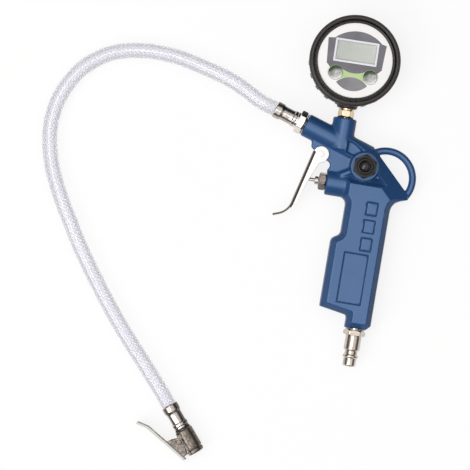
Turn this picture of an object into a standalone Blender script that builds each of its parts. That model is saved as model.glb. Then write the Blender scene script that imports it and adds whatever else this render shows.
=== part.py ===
"""Hand-held tyre inflator with a digital gauge, a hose and a clip-on chuck.

It lies on its side on a bench. X runs along the trigger valve towards the hanging loop,
Y runs up the grip to the gauge, and Z is up. The origin is on the bench, under the
release valve. All sizes are in metres.
"""

import math

import bmesh
import bpy
from mathutils import Matrix, Vector

# ---------------------------------------------------------------- shared fits
FIT = 0.0003  # gap between two faces that touch
PLAY = 0.0004  # clearance on each side of a piece that moves
OVERLAP = 0.001  # how far joined shapes run into each other
ROUND_MID = 0.3  # share of a rounded corner's radius at its middle point
CHAMFER_SLOPE = 0.6  # drop of a hexagon's chamfer over its width
ROOT_SHARE = 0.6  # share of a cylinder's radius at which a web's edge ends inside it
ROUND_STEPS = 32  # facets round a large cylinder
SMALL_STEPS = 20  # facets round a small one

# ---------------------------------------------------------------- casting
GRIP_THICK = 0.026
GRIP_FRONT = 0.0099  # ahead of the release valve
GRIP_REAR = 0.0249  # behind it
GRIP_TOP = 0.0098  # the flats' upper edge, below it
TOE_FRONT = 0.0166
TOE_TOP = 0.0560
TOE_END = 0.1111
TOE_SLOPE = 0.0037
SOCKET_FRONT = 0.0050
SOCKET_END = 0.1240
SOCKET_CHAMFER = 0.0036
TOE_STEP = 0.0038
TOE_HOLLOW_R = 0.0040
TOE_ROUND_R = 0.0052
GRIP_FILLET = 0.0050  # where the grip's front runs up into the valve cylinder
TAIL_CORNER_Y = -0.0241
TAIL_FILLET = 0.0090
TAIL_END = (0.0374, -0.0197)
TAIL_INNER_X = 0.0330
EDGE_INSET = 0.0044  # the grip's flats stand in from its sides by this
EDGE_DROP = 0.0060
EDGE_ROLL = 0.0005
WEB_THICK = 0.010
BEAK_REACH = 0.0462  # the web's front edge under the barrel, along the barrel's axis
BEAK_X = 0.0084  # the stop's tip ahead of the trigger's pivot
BEAK_Y = 0.0028
BEAK_STEP = 0.0018
THROAT_X = -0.0296
THROAT_DEEP = 0.0006
BOSS_R = 0.0110
BOSS_HEIGHT = 0.0235
VALVE_DROP = 0.0162  # the valve axis is this far below the release valve
VALVE_R = 0.0098
VALVE_FRONT = 0.0273
VALVE_REAR = 0.0160
BARREL_TILT = 18.0  # degrees
BARREL_LIFT = 0.0081  # the barrel axis passes this far above the release valve
BARREL_R = 0.0090
BARREL_REACH = 0.0553
PORT_AHEAD = 0.0206
PORT_R = 0.0091
PORT_TOP = 0.0346
PORT_FOOT = 0.0100
LIP_CHAMFER = 0.0008
RAIL_BACK = 0.0157  # the casting's back edge from the release valve
RAIL_DIAGONAL = 0.01464  # its diagonal edge from the release valve
RAIL_SLOPE = 0.72  # rise of the rail's face over its width
RAIL_WIDE = 0.0098
BACK_WIDE = 0.0045
RAIL_FOOT = 0.0012
LOOP_X = 0.0173
LOOP_Y = -0.0060
LOOP_R = 0.0211
LOOP_BAR_R = 0.0029
LOOP_FROM = 124.0  # degrees
LOOP_TO = -34.0
POCKET_EDGE = (  # the floor of the pocket between the gauge port, the back rail and the boss
    (-0.0153, 0.0178),
    (-0.0153, 0.0086),
    (-0.0098, 0.0068),
    (-0.0078, 0.0083),
    (-0.0052, 0.0100),
    (-0.0031, 0.0106),
    (-0.0056, 0.0128),
    (-0.0082, 0.0151),
    (-0.0112, 0.0168),
)
POCKET_DRAFT = 0.0020  # its walls lean out by this
RIB_WIDTH = 0.0058
RIB_TALL = 0.0085
RIB_DRAFT = 0.0017
RIB_FOOT_X = -0.0185
LUG_R = 0.0048
INLET_X = 0.0135
INLET_BORE_R = 0.0050
CHAMBER_R = 0.0056
CHAMBER_END = 0.0070
PASSAGE_R = 0.0025
CROSS_BORE_R = 0.0018
BARREL_BORE_R = 0.0032
RELEASE_WELL = 0.0175
FRAME_GROOVE = 0.0007
FRAME_DEPTH = 0.0005
FRAME_SMALL = 0.0088
FRAME_TALL = 0.0106
FRAME_PITCH = 0.01385
FRAME_FIRST_Y = -0.0312
FRAME_X = 0.0106
PLATE_WIDE = 0.0190
PLATE_LONG = 0.0395
PLATE_X = 0.0046
PLATE_Y = -0.0862

# ---------------------------------------------------------------- trigger
PIVOT_X = -0.0344
PIVOT_Y = 0.0042
LEVER_SHEET = 0.0013
LEVER_TILT = 14.0  # degrees
LEVER_AHEAD = 0.0068  # its plate's outer face from the pivot
LEVER_TOP = 0.0002
LEVER_STRAIGHT = 0.0432
CURL_R = 0.0130
LEVER_CURL = 56.0  # degrees
LEVER_LIP = 0.0048  # straight again past the curl
EAR_R = 0.0060
EAR_FROM = 165.0  # degrees, where the flange's ear starts and ends
EAR_TO = -24.0
FLANGE_EDGE = (  # each flange's free edge: ahead of the pivot, and below it
    (-0.0046, 0.0048),
    (-0.0015, 0.0071),
    (0.0007, 0.0200),
    (0.0020, 0.0316),
    (0.0030, 0.0400),
    (0.0043, 0.0462),
)
FLANGE_END = 24.0  # degrees into the curl, where the flanges end
TRIGGER_PIN_R = 0.0016
PIN_HEAD_R = 0.0027
PIN_HEAD_TOP_R = 0.0021
PIN_HEAD_H = 0.0008

# ---------------------------------------------------------------- trigger valve
NUT_ACROSS = 0.0122
NUT_LENGTH = 0.0054
NUT_SPIGOT = 0.0045
VALVE_GALLERY = 0.0045  # the space between the spigot and the seat
COLLAR_R = 0.0033
COLLAR_LENGTH = 0.0027
STEM_R = 0.0014
STEM_TIP_R = 0.0009
SEAT_LENGTH = 0.0030
SEAT_HOLE_R = 0.0024
POPPET_R = 0.0042
POPPET_LENGTH = 0.0030
SEAL_THICK = 0.0012
SPRING_WIRE_R = 0.00045
VALVE_SPRING_TURNS = 5

# ---------------------------------------------------------------- release valve
RELEASE_ACROSS = 0.0166
RELEASE_HEX = 0.0042
RELEASE_CROWN_R = 0.0064
RELEASE_CROWN = 0.0022
RELEASE_SPIGOT_R = 0.0056
RELEASE_SPIGOT = 0.0090
BUTTON_R = 0.0040
BUTTON_STANDS = 0.0030
BUTTON_DOME = 0.0022
BUTTON_SKIRT = 0.0042
RELEASE_POCKET = 0.0105
RELEASE_STEM_R = 0.0012
RELEASE_SPRING_TURNS = 3

# ---------------------------------------------------------------- gauge
BOOT_ABOVE = 0.0013  # the boot's edge past the neck's collar
GAUGE_DEPTH = 0.0355
BOOT_R = 0.0349
BOOT_WALL = 0.0036
BOOT_FLOOR = 0.0022
BOOT_BACK_HOLE_R = 0.0200
BOOT_RIBS = 21
RIB_ARC = 6.5  # degrees
RIB_FLANK = 0.7  # degrees
BOOT_ROUND = 0.0020
BOOT_LIP = 0.0028  # the rim's width at the front
RIB_STANDS = 0.0010
BOOT_RIM = 0.0095  # the rim's height at the front, down to the recessed side
BOOT_SIDE_IN = 0.0013
RIB_FROM = 0.0030
RIB_TO = 0.0210
BOOT_BOSS_R = 0.0078
CASE_WALL = 0.0020
CASE_LEDGE = 0.0014
COVER_R = 0.0145
COIN_SLOT = 0.0022
COIN_SLOT_LONG = 0.0200
BEZEL_WIDE = 0.0019
BEZEL_WALL = 0.0012
BEZEL_GROOVE = 0.0005
PANEL_THICK = 0.0020
PANEL_SINK = 0.0020  # the dial lies this far below the bezel's front
WINDOW_X = 0.0305
WINDOW_Y = 0.0150
WINDOW_FRAME = 0.0014
WINDOW_UP = 0.0064  # above the dial's centre
LENS_THICK = 0.0008
FRAME_STANDS = 0.0005
KEY_R = 0.0054
KEY_APART = 0.0266
KEY_DOWN = 0.0112
KEY_STANDS = 0.0010
KEY_DISH = 0.0007
KEY_EDGE = 0.0005
KEY_FLANGE = 0.0009
DOME_FOOT_R = 0.0047
DOME_FOOT = 0.0008
DOME_TOP_R = 0.0026
DOME_WALL = 0.0009
BOARD_ROOM = 0.0028  # from the case's wall to the board's edge
BOARD_THICK = 0.0016
BOARD_BELOW = 0.0060  # its top below the dial's back
CELL_R = 0.0122
CELL_THICK = 0.0050
CLIP_WIDE = 0.0060
CLIP_THICK = 0.0005
SENSOR_R = 0.0052
SENSOR_LENGTH = 0.0065
NECK_HEX = 0.0110
NECK_HEX_LENGTH = 0.0046
NECK_COLLAR_R = 0.0062
NECK_COLLAR = 0.0016
NECK_STEM_R = 0.0046
NECK_SCREWED = 0.0070  # length inside the port
NECK_BORE_R = 0.0016
NECK_SEAL = 0.0006
NECK_IN_CASE = 0.0025

# ---------------------------------------------------------------- air plug
PLUG_HEX = 0.0150
PLUG_HEX_LENGTH = 0.0038
PLUG_WASHER = 0.0008
PLUG_SHAFT_R = 0.0062
PLUG_SHAFT = 0.0110
PLUG_NECK_R = 0.0049
PLUG_NECK = 0.0045
PLUG_RIDGE_R = 0.0060
PLUG_RIDGE = 0.0014
PLUG_TIP_R = 0.0050
PLUG_TIP = 0.0072
PLUG_BORE_R = 0.0034
PLUG_SCREWED = 0.0090
PLUG_THREAD_R = 0.0047

# ---------------------------------------------------------------- hose and fittings
HOSE_OD = 0.0124
HOSE_LIFT = 0.0004  # its underside stands this far off the bench
SEAL_DISC = 0.0008
FITTING_HEX = 0.0160
FITTING_HEX_LENGTH = 0.0050
FITTING_NECK_R = 0.0045
FITTING_NECK = 0.0014
FITTING_SCREWED = 0.0090
FITTING_BORE_R = 0.0016
FITTING_R = 0.0046
FERRULE_LENGTH = 0.0180
FERRULE_R = 0.0056
FERRULE_FLARE_R = 0.0065
FERRULE_FLARE = 0.0050
FERRULE_RING = 0.0020
FERRULE_RING_R = 0.0062
FERRULE_TAPER = 0.0020
FERRULE_CRIMP = 0.0006
FERRULE_BORE_R = 0.0030
HOSE_ROUTE = (  # across, along, and how far it is lifted off its rest
    (-0.0985, 0.0441, 0.0046),
    (-0.1208, 0.0517, 0.0022),
    (-0.1437, 0.0578, 0.0006),
    (-0.1663, 0.0612, 0.0000),
    (-0.1886, 0.0599, 0.0000),
    (-0.2090, 0.0536, 0.0000),
    (-0.2268, 0.0398, 0.0000),
    (-0.2389, 0.0199, 0.0000),
    (-0.2440, -0.0032, 0.0000),
    (-0.2413, -0.0268, 0.0000),
    (-0.2336, -0.0489, 0.0000),
    (-0.2225, -0.0692, 0.0000),
    (-0.2109, -0.0892, 0.0000),
    (-0.1981, -0.1085, 0.0000),
    (-0.1843, -0.1275, 0.0000),
    (-0.1700, -0.1460, 0.0000),
    (-0.1551, -0.1636, 0.0000),
    (-0.1395, -0.1809, 0.0002),
)
HOSE_PITCH = HOSE_OD * 2  # between the points of its centreline

# ---------------------------------------------------------------- chuck
CHUCK_X = -0.1063
CHUCK_Y = -0.2203
CHUCK_TURN = -50.5  # degrees, the way its mouth points
CHUCK_Z = 0.0074
CHUCK_R = 0.0070
CHUCK_LENGTH = 0.0205
CHUCK_LIP_R = 0.0067
CHUCK_LIP = 0.0030
CHUCK_GROOVE = 0.0010
CHUCK_GROOVE_R = 0.0061
FLAT_REACH = 0.0038
MOUTH_R = 0.0044
MOUTH_DEPTH = 0.0100
GROMMET_BORE_R = 0.0021
GROMMET = 0.0032
TAIL_R = 0.0059
TAIL = 0.0015
TAIL_SCREWED = 0.0050
TAIL_SPIGOT_R = 0.0040
TAIL_SEAL = 0.0009
AIRWAY_R = 0.0014
LUG_HALF = 0.0035
LUG_REACH = 0.0098
LUG_LENGTH = 0.0110
LUG_TIP = 0.0025
LUG_ROUND = 0.0020
NOTCH_HALF = 0.0016
CHUCK_PIVOT_A = 0.0071  # from the body's back end
CHUCK_PIVOT_P = 0.0074
CHUCK_PIN_R = 0.0012
CHUCK_SHEET = 0.0010
CHUCK_EAR_R = 0.0030
SLOT_HALF = 0.0030
SLOT_ROOM = 0.0012
CHUCK_LEAN = 18.5  # degrees
CHUCK_TOE_A = 0.0140
CHUCK_TOE_P = 0.0024
CHUCK_PLATE = 0.0382
CHUCK_FLICK = 18.0  # degrees
CHUCK_TIP = 0.0090
FLANGE_TO = 0.0208
FLANGE_FROM = 0.0020
CLAW_AT = 0.0104
CLAW_REACH = 0.0009
DEPRESSOR_R = 0.0009
DEPRESSOR = 0.0058
DEPRESSOR_BAR = 0.0009
TORSION_R = 0.0019
TORSION_TURNS = 2.0
TORSION_WIRE_R = 0.00025

# ---------------------------------------------------------------- derived places
MID = GRIP_THICK / 2
TILT = math.radians(BARREL_TILT)
BARREL_OUT = Vector((-math.cos(TILT), math.sin(TILT), 0.0))
BARREL_UP = Vector((math.sin(TILT), math.cos(TILT), 0.0))
BARREL_FOOT = BARREL_UP * BARREL_LIFT + Vector((0.0, 0.0, MID))
BARREL_FACE = BARREL_FOOT + BARREL_OUT * BARREL_REACH
PORT = Vector((-PORT_AHEAD, 0.0, MID))
VALVE_AXIS_Y = -VALVE_DROP
WEB_HALF = WEB_THICK / 2
NECK_HEX_BASE = PORT_TOP + NECK_SEAL + FIT * 2
NECK_HEX_TOP = NECK_HEX_BASE + NECK_HEX_LENGTH
NECK_COLLAR_TOP = NECK_HEX_TOP + NECK_COLLAR
GAUGE_Y = NECK_COLLAR_TOP + BOOT_ABOVE + BOOT_R
GAUGE = Vector((-PORT_AHEAD, GAUGE_Y, 0.0))
CASE_R = BOOT_R - BOOT_WALL - FIT
NECK_END = GAUGE_Y - CASE_R + CASE_WALL + NECK_IN_CASE
BOARD_R = CASE_R - CASE_WALL - BOARD_ROOM
CASE_BACK = BOOT_FLOOR + FIT
DIAL_Z = GAUGE_DEPTH - PANEL_SINK  # the dial's front
CASE_RIM = DIAL_Z - PANEL_THICK - FIT
BOARD_TOP = DIAL_Z - PANEL_THICK - BOARD_BELOW
GRIP_FILLET_X = -GRIP_FRONT - GRIP_FILLET
CHUCK_ALONG = Vector((math.cos(math.radians(CHUCK_TURN)), math.sin(math.radians(CHUCK_TURN)), 0.0))


# ---------------------------------------------------------------- scene tools
def clear_scene():
    """Empties the scene."""
    for obj in list(bpy.data.objects):
        bpy.data.objects.remove(obj, do_unlink=True)


def new_collection(name):
    """A collection linked to the scene."""
    group = bpy.data.collections.new(name)
    bpy.context.scene.collection.children.link(group)
    return group


def finish(name, colour, roughness, metallic=0.0, alpha=1.0):
    """A Principled material."""
    material = bpy.data.materials.new(name)
    material.use_nodes = True
    shader = material.node_tree.nodes["Principled BSDF"]
    shader.inputs["Base Color"].default_value = (*colour, 1.0)
    shader.inputs["Roughness"].default_value = roughness
    shader.inputs["Metallic"].default_value = metallic
    shader.inputs["Alpha"].default_value = alpha
    return material


clear_scene()
PARTS = new_collection("tyre_inflator")
CUTTERS = new_collection("cutters")
BLUE = finish("blue_enamel", (0.035, 0.115, 0.36), 0.38)
CHROME = finish("chrome", (0.78, 0.77, 0.75), 0.16, 1.0)
NICKEL = finish("nickel", (0.66, 0.63, 0.58), 0.25, 1.0)
BRASS = finish("brass", (0.72, 0.52, 0.22), 0.28, 1.0)
STEEL = finish("spring_steel", (0.45, 0.45, 0.46), 0.35, 1.0)
BLACK = finish("black_plastic", (0.015, 0.014, 0.013), 0.25)
RUBBER = finish("black_rubber", (0.045, 0.041, 0.039), 0.75)
SEAL = finish("seal_rubber", (0.02, 0.02, 0.02), 0.7)
GREY = finish("grey_plastic", (0.18, 0.17, 0.17), 0.5)
WHITE = finish("white_plastic", (0.86, 0.86, 0.87), 0.4)
LILAC = finish("pale_plastic", (0.78, 0.76, 0.84), 0.4)
LCD = finish("display", (0.42, 0.47, 0.41), 0.2)
CLEAR = finish("clear_plastic", (0.9, 0.92, 0.95), 0.05, 0.0, 0.35)
GREEN = finish("circuit_board", (0.02, 0.16, 0.07), 0.5)
HOSE = finish("clear_hose", (0.80, 0.80, 0.86), 0.22)


def add(name, mesh, material=None, place=None, group=None):
    """An object of this mesh at this place, among the parts or the cutters."""
    obj = bpy.data.objects.new(name, mesh)
    (group or PARTS).objects.link(obj)
    if place is not None:
        obj.matrix_world = place
    if material is not None:
        mesh.materials.append(material)
    if group is CUTTERS:
        obj.hide_render = True
        obj.display_type = "WIRE"
    return obj


def to_mesh(bm, name):
    """The mesh of a bmesh whose faces point out."""
    bmesh.ops.recalc_face_normals(bm, faces=bm.faces)
    mesh = bpy.data.meshes.new(name)
    bm.to_mesh(mesh)
    bm.free()
    return mesh


def along(direction, at):
    """A frame at a point: local Z runs this way on the bench plane, and local Y is up."""
    way = Vector(direction).normalized()
    side = Vector((0.0, 0.0, 1.0)).cross(way)
    turn = Matrix((side, Vector((0.0, 0.0, 1.0)), way)).transposed().to_4x4()
    return Matrix.Translation(at) @ turn


def at(x, y, z=0.0):
    """A frame moved to a point."""
    return Matrix.Translation((x, y, z))


def shade_round(obj):
    """Smooth shading that keeps edges sharper than 35 degrees."""
    obj.data.shade_smooth()
    obj.data.set_sharp_from_angle(angle=math.radians(35))


def cut(target, cutter, operation="DIFFERENCE", solver="EXACT"):
    """A Boolean of the target with another mesh object."""
    modifier = target.modifiers.new(f"{operation.lower()}_{cutter.name}", "BOOLEAN")
    modifier.operation = operation
    modifier.solver = solver
    modifier.object = cutter
    return target


def join(target, *others):
    """Unions of the target with each of the others."""
    for other in others:
        cut(target, other, "UNION")
    return target


# ---------------------------------------------------------------- shape tools
def turned(name, profile, place, material=None, steps=ROUND_STEPS, group=None, closed=False):
    """A turned shape: (radius, height) down its outer side, turned about the frame's Z.

    A closed profile comes back up a bore.
    """
    bm = bmesh.new()
    points = [bm.verts.new((radius, 0.0, height)) for radius, height in profile]
    for first, second in zip(points, points[1:]):
        bm.edges.new((first, second))
    if closed:
        bm.edges.new((points[-1], points[0]))
    mesh = bpy.data.meshes.new(name)
    bm.to_mesh(mesh)
    bm.free()
    obj = add(name, mesh, material, place, group)
    screw = obj.modifiers.new("turn", "SCREW")
    screw.axis = "Z"
    screw.angle = math.tau
    screw.steps = steps
    screw.render_steps = steps
    screw.use_merge_vertices = True
    screw.merge_threshold = 0.00001
    screw.use_smooth_shade = False
    return obj


def rod(name, radius, low, high, place, material=None, steps=ROUND_STEPS, group=CUTTERS):
    """A plain round rod between two heights of the frame's Z."""
    profile = ((0.0, high), (radius, high), (radius, low), (0.0, low))
    return turned(name, profile, place, material, steps, group)


def ring(name, outer, inner, low, high, place, material=None, steps=ROUND_STEPS, group=None):
    """A plain ring between two heights of the frame's Z."""
    profile = ((inner, high), (outer, high), (outer, low), (inner, low))
    return turned(name, profile, place, material, steps, group, closed=True)


def prism(name, outline, low, high, place=None, material=None, group=CUTTERS):
    """A flat outline of (x, y) points carried between two heights."""
    bm = bmesh.new()
    base = bm.faces.new([bm.verts.new((x, y, low)) for x, y in outline])
    lifted = bmesh.ops.extrude_face_region(bm, geom=[base])
    top = [item for item in lifted["geom"] if isinstance(item, bmesh.types.BMVert)]
    bmesh.ops.translate(bm, verts=top, vec=(0.0, 0.0, high - low))
    return add(name, to_mesh(bm, name), material, place, group)


def block(name, low, high, place=None, material=None, group=CUTTERS):
    """A box between two corners of the frame."""
    outline = ((low[0], low[1]), (high[0], low[1]), (high[0], high[1]), (low[0], high[1]))
    return prism(name, outline, low[2], high[2], place, material, group)


def hexagon(across, turn=0.0):
    """The corners of a hexagon this wide across its flats, its first one turned by degrees."""
    reach = across / math.sqrt(3)
    angles = [math.radians(turn + 60 * side) for side in range(6)]
    return [(reach * math.cos(angle), reach * math.sin(angle)) for angle in angles]


def chamfered_hex(name, across, low, high, place, material, turn=0.0, group=None):
    """A hexagon with its corners turned off at both ends, as on a nut."""
    obj = prism(name, hexagon(across, turn), low, high, place, material, group)
    corner = across / math.sqrt(3)
    drop = (corner - across / 2) * CHAMFER_SLOPE
    inside = across / 2 - FIT / 2
    profile = (
        (0.0, high + FIT),
        (inside, high + FIT),
        (corner + FIT, high - drop),
        (corner + FIT, low + drop),
        (inside, low - FIT),
        (0.0, low - FIT),
    )
    cone = turned(f"{name}_cone", profile, place, None, 24, CUTTERS)
    return cut(obj, cone, "INTERSECT")


def arc(centre, radius, start, end, steps):
    """Points on an arc from one angle to another, in degrees."""
    angles = [math.radians(start + (end - start) * step / steps) for step in range(steps + 1)]
    return [(centre[0] + radius * math.cos(a), centre[1] + radius * math.sin(a)) for a in angles]


def rounded(corners, step=22.5):
    """An outline of (x, y, radius) corners, each with its arc where it has a radius."""
    outline = []
    for index, (x, y, radius) in enumerate(corners):
        here = Vector((x, y))
        back = (Vector(corners[index - 1][:2]) - here).normalized()
        ahead = (Vector(corners[(index + 1) % len(corners)][:2]) - here).normalized()
        if radius == 0.0:
            outline.append((x, y))
            continue
        half = back.angle(ahead) / 2
        centre = here + (back + ahead).normalized() * radius / math.sin(half)
        reach = radius / math.tan(half)
        start = here + back * reach - centre
        turn = (here + ahead * reach - centre).angle_signed(start)
        count = max(2, round(abs(math.degrees(turn)) / step))
        for part in range(count + 1):
            spoke = start.copy()
            spoke.rotate(Matrix.Rotation(turn * part / count, 2))
            outline.append(tuple(centre + spoke))
    return outline


def inset(outline, depth):
    """The outline moved inwards by this depth; it runs anticlockwise."""
    moved = []
    for index, point in enumerate(outline):
        here = Vector(point)
        back = (here - Vector(outline[index - 1])).normalized()
        ahead = (Vector(outline[(index + 1) % len(outline)]) - here).normalized()
        left_back = Vector((-back.y, back.x))
        left_ahead = Vector((-ahead.y, ahead.x))
        moved.append(here + (left_back + left_ahead) * depth / (1 + left_back.dot(left_ahead)))
    return moved


def pillow(name, outline, levels, place, material=None, group=CUTTERS):
    """A flat outline lofted through (inset, height) levels, from the lowest up."""
    bm = bmesh.new()
    rings = [[(p[0], p[1], height) for p in inset(outline, depth)] for depth, height in levels]
    rows = [[bm.verts.new(point) for point in loop] for loop in rings]
    for lower, upper in zip(rows, rows[1:]):
        for index in range(len(lower)):
            after = (index + 1) % len(lower)
            bm.faces.new((lower[index], lower[after], upper[after], upper[index]))
    bm.faces.new(reversed(rows[0]))
    bm.faces.new(rows[-1])
    return add(name, to_mesh(bm, name), material, place, group)


def round_curve(name, points, radius, resolution):
    """A curve object bevelled into a round, capped rod along a line of points."""
    curve = bpy.data.curves.new(name, "CURVE")
    curve.dimensions = "3D"
    curve.bevel_depth = radius
    curve.bevel_resolution = resolution
    curve.use_fill_caps = True
    line = curve.splines.new("POLY")
    line.points.add(len(points) - 1)
    for slot, point in zip(line.points, points):
        slot.co = (*point, 1.0)
    return bpy.data.objects.new(name, curve)


def tube(name, points, radius, material=None, resolution=2, place=None, group=None):
    """A round tube along a line of points, as a closed mesh."""
    guide = round_curve(f"{name}_path", points, radius, resolution)
    bpy.context.scene.collection.objects.link(guide)
    bpy.context.view_layer.update()
    graph = bpy.context.evaluated_depsgraph_get()
    mesh = bpy.data.meshes.new_from_object(guide.evaluated_get(graph))
    bpy.data.objects.remove(guide, do_unlink=True)
    bm = bmesh.new()
    bm.from_mesh(mesh)
    bmesh.ops.remove_doubles(bm, verts=bm.verts, dist=0.000005)
    bm.to_mesh(mesh)
    bm.free()
    mesh.name = name
    mesh.materials.clear()
    return add(name, mesh, material, place, group)


def coil_points(radius, low, high, turns, per_turn=9):
    """A helix about Z from one height to another."""
    count = round(turns * per_turn)
    angles = [math.tau * step / per_turn for step in range(count + 1)]
    rise = (high - low) / count
    return [
        (radius * math.cos(angle), radius * math.sin(angle), low + rise * step)
        for step, angle in enumerate(angles)
    ]


def least_gap(points, wire, apart):
    """The least gap between stretches of a tube this many points or more apart."""
    nearest = min(
        (Vector(a) - Vector(b)).length
        for index, a in enumerate(points)
        for b in points[index + apart :]
    )
    return nearest - 2 * wire


def spring(name, radius, wire, low, high, turns, place, material):
    """A round-wire spring between two seats."""
    points = coil_points(radius, low + wire, high - wire, turns)
    print(f"{name}: least gap to itself {least_gap(points, wire, 6) * 1000:.2f} mm")
    return tube(name, points, wire, material, 1, place)


def smooth_line(points, pitch):
    """Points this far apart on a Catmull-Rom curve from the second to the last but one."""
    dense = []
    for index in range(1, len(points) - 2):
        a, b, c, d = points[index - 1 : index + 3]
        for step in range(24):
            t = step / 24
            dense.append(
                0.5 * (2 * b + (c - a) * t + (2 * a - 5 * b + 4 * c - d) * t**2
                       + (3 * b - a - 3 * c + d) * t**3)
            )
    dense.append(points[-2])
    total = sum((b - a).length for a, b in zip(dense, dense[1:]))
    count = round(total / pitch)
    spaced = [dense[0]]
    walked = 0.0
    for before, after in zip(dense, dense[1:]):
        walked += (after - before).length
        if len(spaced) < count and walked >= len(spaced) * total / count:
            spaced.append(after)
    spaced.append(dense[-1])
    return spaced, total


def meet(first, second):
    """The point where two lines meet; each is (degrees its normal points, distance from the origin)."""
    a = math.radians(first[0])
    b = math.radians(second[0])
    spread = math.sin(b - a)
    x = (first[1] * math.sin(b) - second[1] * math.sin(a)) / spread
    y = (second[1] * math.cos(a) - first[1] * math.cos(b)) / spread
    return (x, y)


def band(name, outer, inner, low, high, place, group=CUTTERS):
    """The space between two outlines of as many points, carried between two heights."""
    bm = bmesh.new()
    loops = [
        [bm.verts.new((x, y, height)) for x, y in outline]
        for outline, height in ((outer, low), (outer, high), (inner, high), (inner, low))
    ]
    for side, loop in enumerate(loops):
        after = loops[(side + 1) % 4]
        for index in range(len(loop)):
            ahead = (index + 1) % len(loop)
            bm.faces.new((loop[index], loop[ahead], after[ahead], after[index]))
    return add(name, to_mesh(bm, name), None, place, group)


# ---------------------------------------------------------------- casting
BACK_LINE = (90.0 - BARREL_TILT, RAIL_BACK)
DIAGONAL_LINE = (45.0, RAIL_DIAGONAL)


def grip_outline():
    """The grip with its toe, its inlet socket and the shoulder that runs out to the loop."""
    nose = [
        (GRIP_FILLET_X + GRIP_FILLET * math.cos(math.radians(75)), -GRIP_TOP),
        *arc((GRIP_FILLET_X, -VALVE_DROP - VALVE_R - GRIP_FILLET), GRIP_FILLET, 75, 0, 3),
    ]
    foot = (
        (-TOE_FRONT, -TOE_END, 0.0),
        (SOCKET_FRONT, -TOE_END - TOE_SLOPE, 0.0),
        (SOCKET_FRONT, -SOCKET_END, 0.0),
        (GRIP_REAR - SOCKET_CHAMFER, -SOCKET_END, 0.0),
        (GRIP_REAR, -SOCKET_END + SOCKET_CHAMFER, 0.0),
        (GRIP_REAR, TAIL_CORNER_Y, TAIL_FILLET),
        (*TAIL_END, 0.0),
        (*meet(DIAGONAL_LINE, (0.0, TAIL_INNER_X)), 0.0),
        (*meet(DIAGONAL_LINE, (-90.0, GRIP_TOP)), 0.0),
        (nose[0][0], nose[0][1], 0.0),
        *[(x, y, 0.0) for x, y in nose[1:]],
        (-GRIP_FRONT, -TOE_TOP + TOE_STEP / 2, TOE_HOLLOW_R),
        (-TOE_FRONT, -TOE_TOP - TOE_STEP / 2, TOE_ROUND_R),
    )
    return rounded(foot)


def rail_outline():
    """The thick rail along the casting's back and diagonal edges."""
    floor = (-90.0, GRIP_TOP + RAIL_FOOT)
    port_side = (0.0, -PORT_AHEAD + PORT_R * ROOT_SHARE)
    inner_back = (BACK_LINE[0], RAIL_BACK - BACK_WIDE)
    inner_diagonal = (DIAGONAL_LINE[0], RAIL_DIAGONAL - RAIL_WIDE)
    return [
        meet(inner_diagonal, floor),
        meet(DIAGONAL_LINE, floor),
        meet(DIAGONAL_LINE, BACK_LINE),
        meet(BACK_LINE, port_side),
        meet(inner_back, port_side),
        meet(inner_back, inner_diagonal),
    ]


def web_outline():
    """The thin web between the cylinders, with the trigger's lug and the stop ahead of it."""
    valve_top = -VALVE_DROP + VALVE_R
    beak_root = BARREL_UP * (BARREL_LIFT - BARREL_R * ROOT_SHARE) + BARREL_OUT * BEAK_REACH
    axis_front = BARREL_UP * BARREL_LIFT + BARREL_OUT * BEAK_REACH
    axis_port = BARREL_UP * BARREL_LIFT + BARREL_OUT * PORT_AHEAD
    throat = (THROAT_X, (PIVOT_Y - LUG_R + valve_top) / 2)
    diagonal = (DIAGONAL_LINE[0], RAIL_DIAGONAL - OVERLAP)
    back = (BACK_LINE[0], RAIL_BACK - OVERLAP)
    reach = (PIVOT_Y - LUG_R - valve_top) / 2 + THROAT_DEEP
    return [
        (-VALVE_FRONT + THROAT_DEEP, -VALVE_DROP),
        (VALVE_REAR - OVERLAP, -VALVE_DROP),
        meet(diagonal, (-90.0, GRIP_TOP + RAIL_FOOT + OVERLAP)),
        meet(diagonal, back),
        meet(back, (0.0, -PORT_AHEAD + PORT_R * ROOT_SHARE)),
        (axis_port.x, axis_port.y),
        (axis_front.x, axis_front.y),
        (beak_root.x, beak_root.y),
        (PIVOT_X - BEAK_X, PIVOT_Y + BEAK_Y + BEAK_STEP),
        (PIVOT_X - BEAK_X + BEAK_STEP, PIVOT_Y + BEAK_Y),
        *arc((PIVOT_X, PIVOT_Y), LUG_R, 150, 315, 7),
        *arc(throat, reach, 60, -60, 6),
    ]


def slope_cutter(name, line, side):
    """A block whose underside is the rail's sloping face; side is 1 above and -1 below."""
    angle = math.radians(line[0])
    outward = Vector((math.cos(angle), math.sin(angle), 0.0))
    edge = Vector((-math.sin(angle), math.cos(angle), 0.0)) * side
    inward = (Vector((0.0, 0.0, RAIL_SLOPE * side)) - outward).normalized()
    turn = Matrix((edge, inward, edge.cross(inward))).transposed().to_4x4()
    foot = outward * line[1] + Vector((0.0, 0.0, MID + LOOP_BAR_R * side))
    size = GRIP_THICK * 2
    return block(name, (-size, -size, 0.0), (size, size, size), Matrix.Translation(foot) @ turn)


def hanging_loop():
    """The round bar of the loop, run a little way into the casting at both ends."""
    path = [(x, y, MID) for x, y in arc((LOOP_X, LOOP_Y), LOOP_R, LOOP_FROM, LOOP_TO, 24)]
    return tube("loop_bar", path, LOOP_BAR_R, None, 3, None, CUTTERS)


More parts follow.
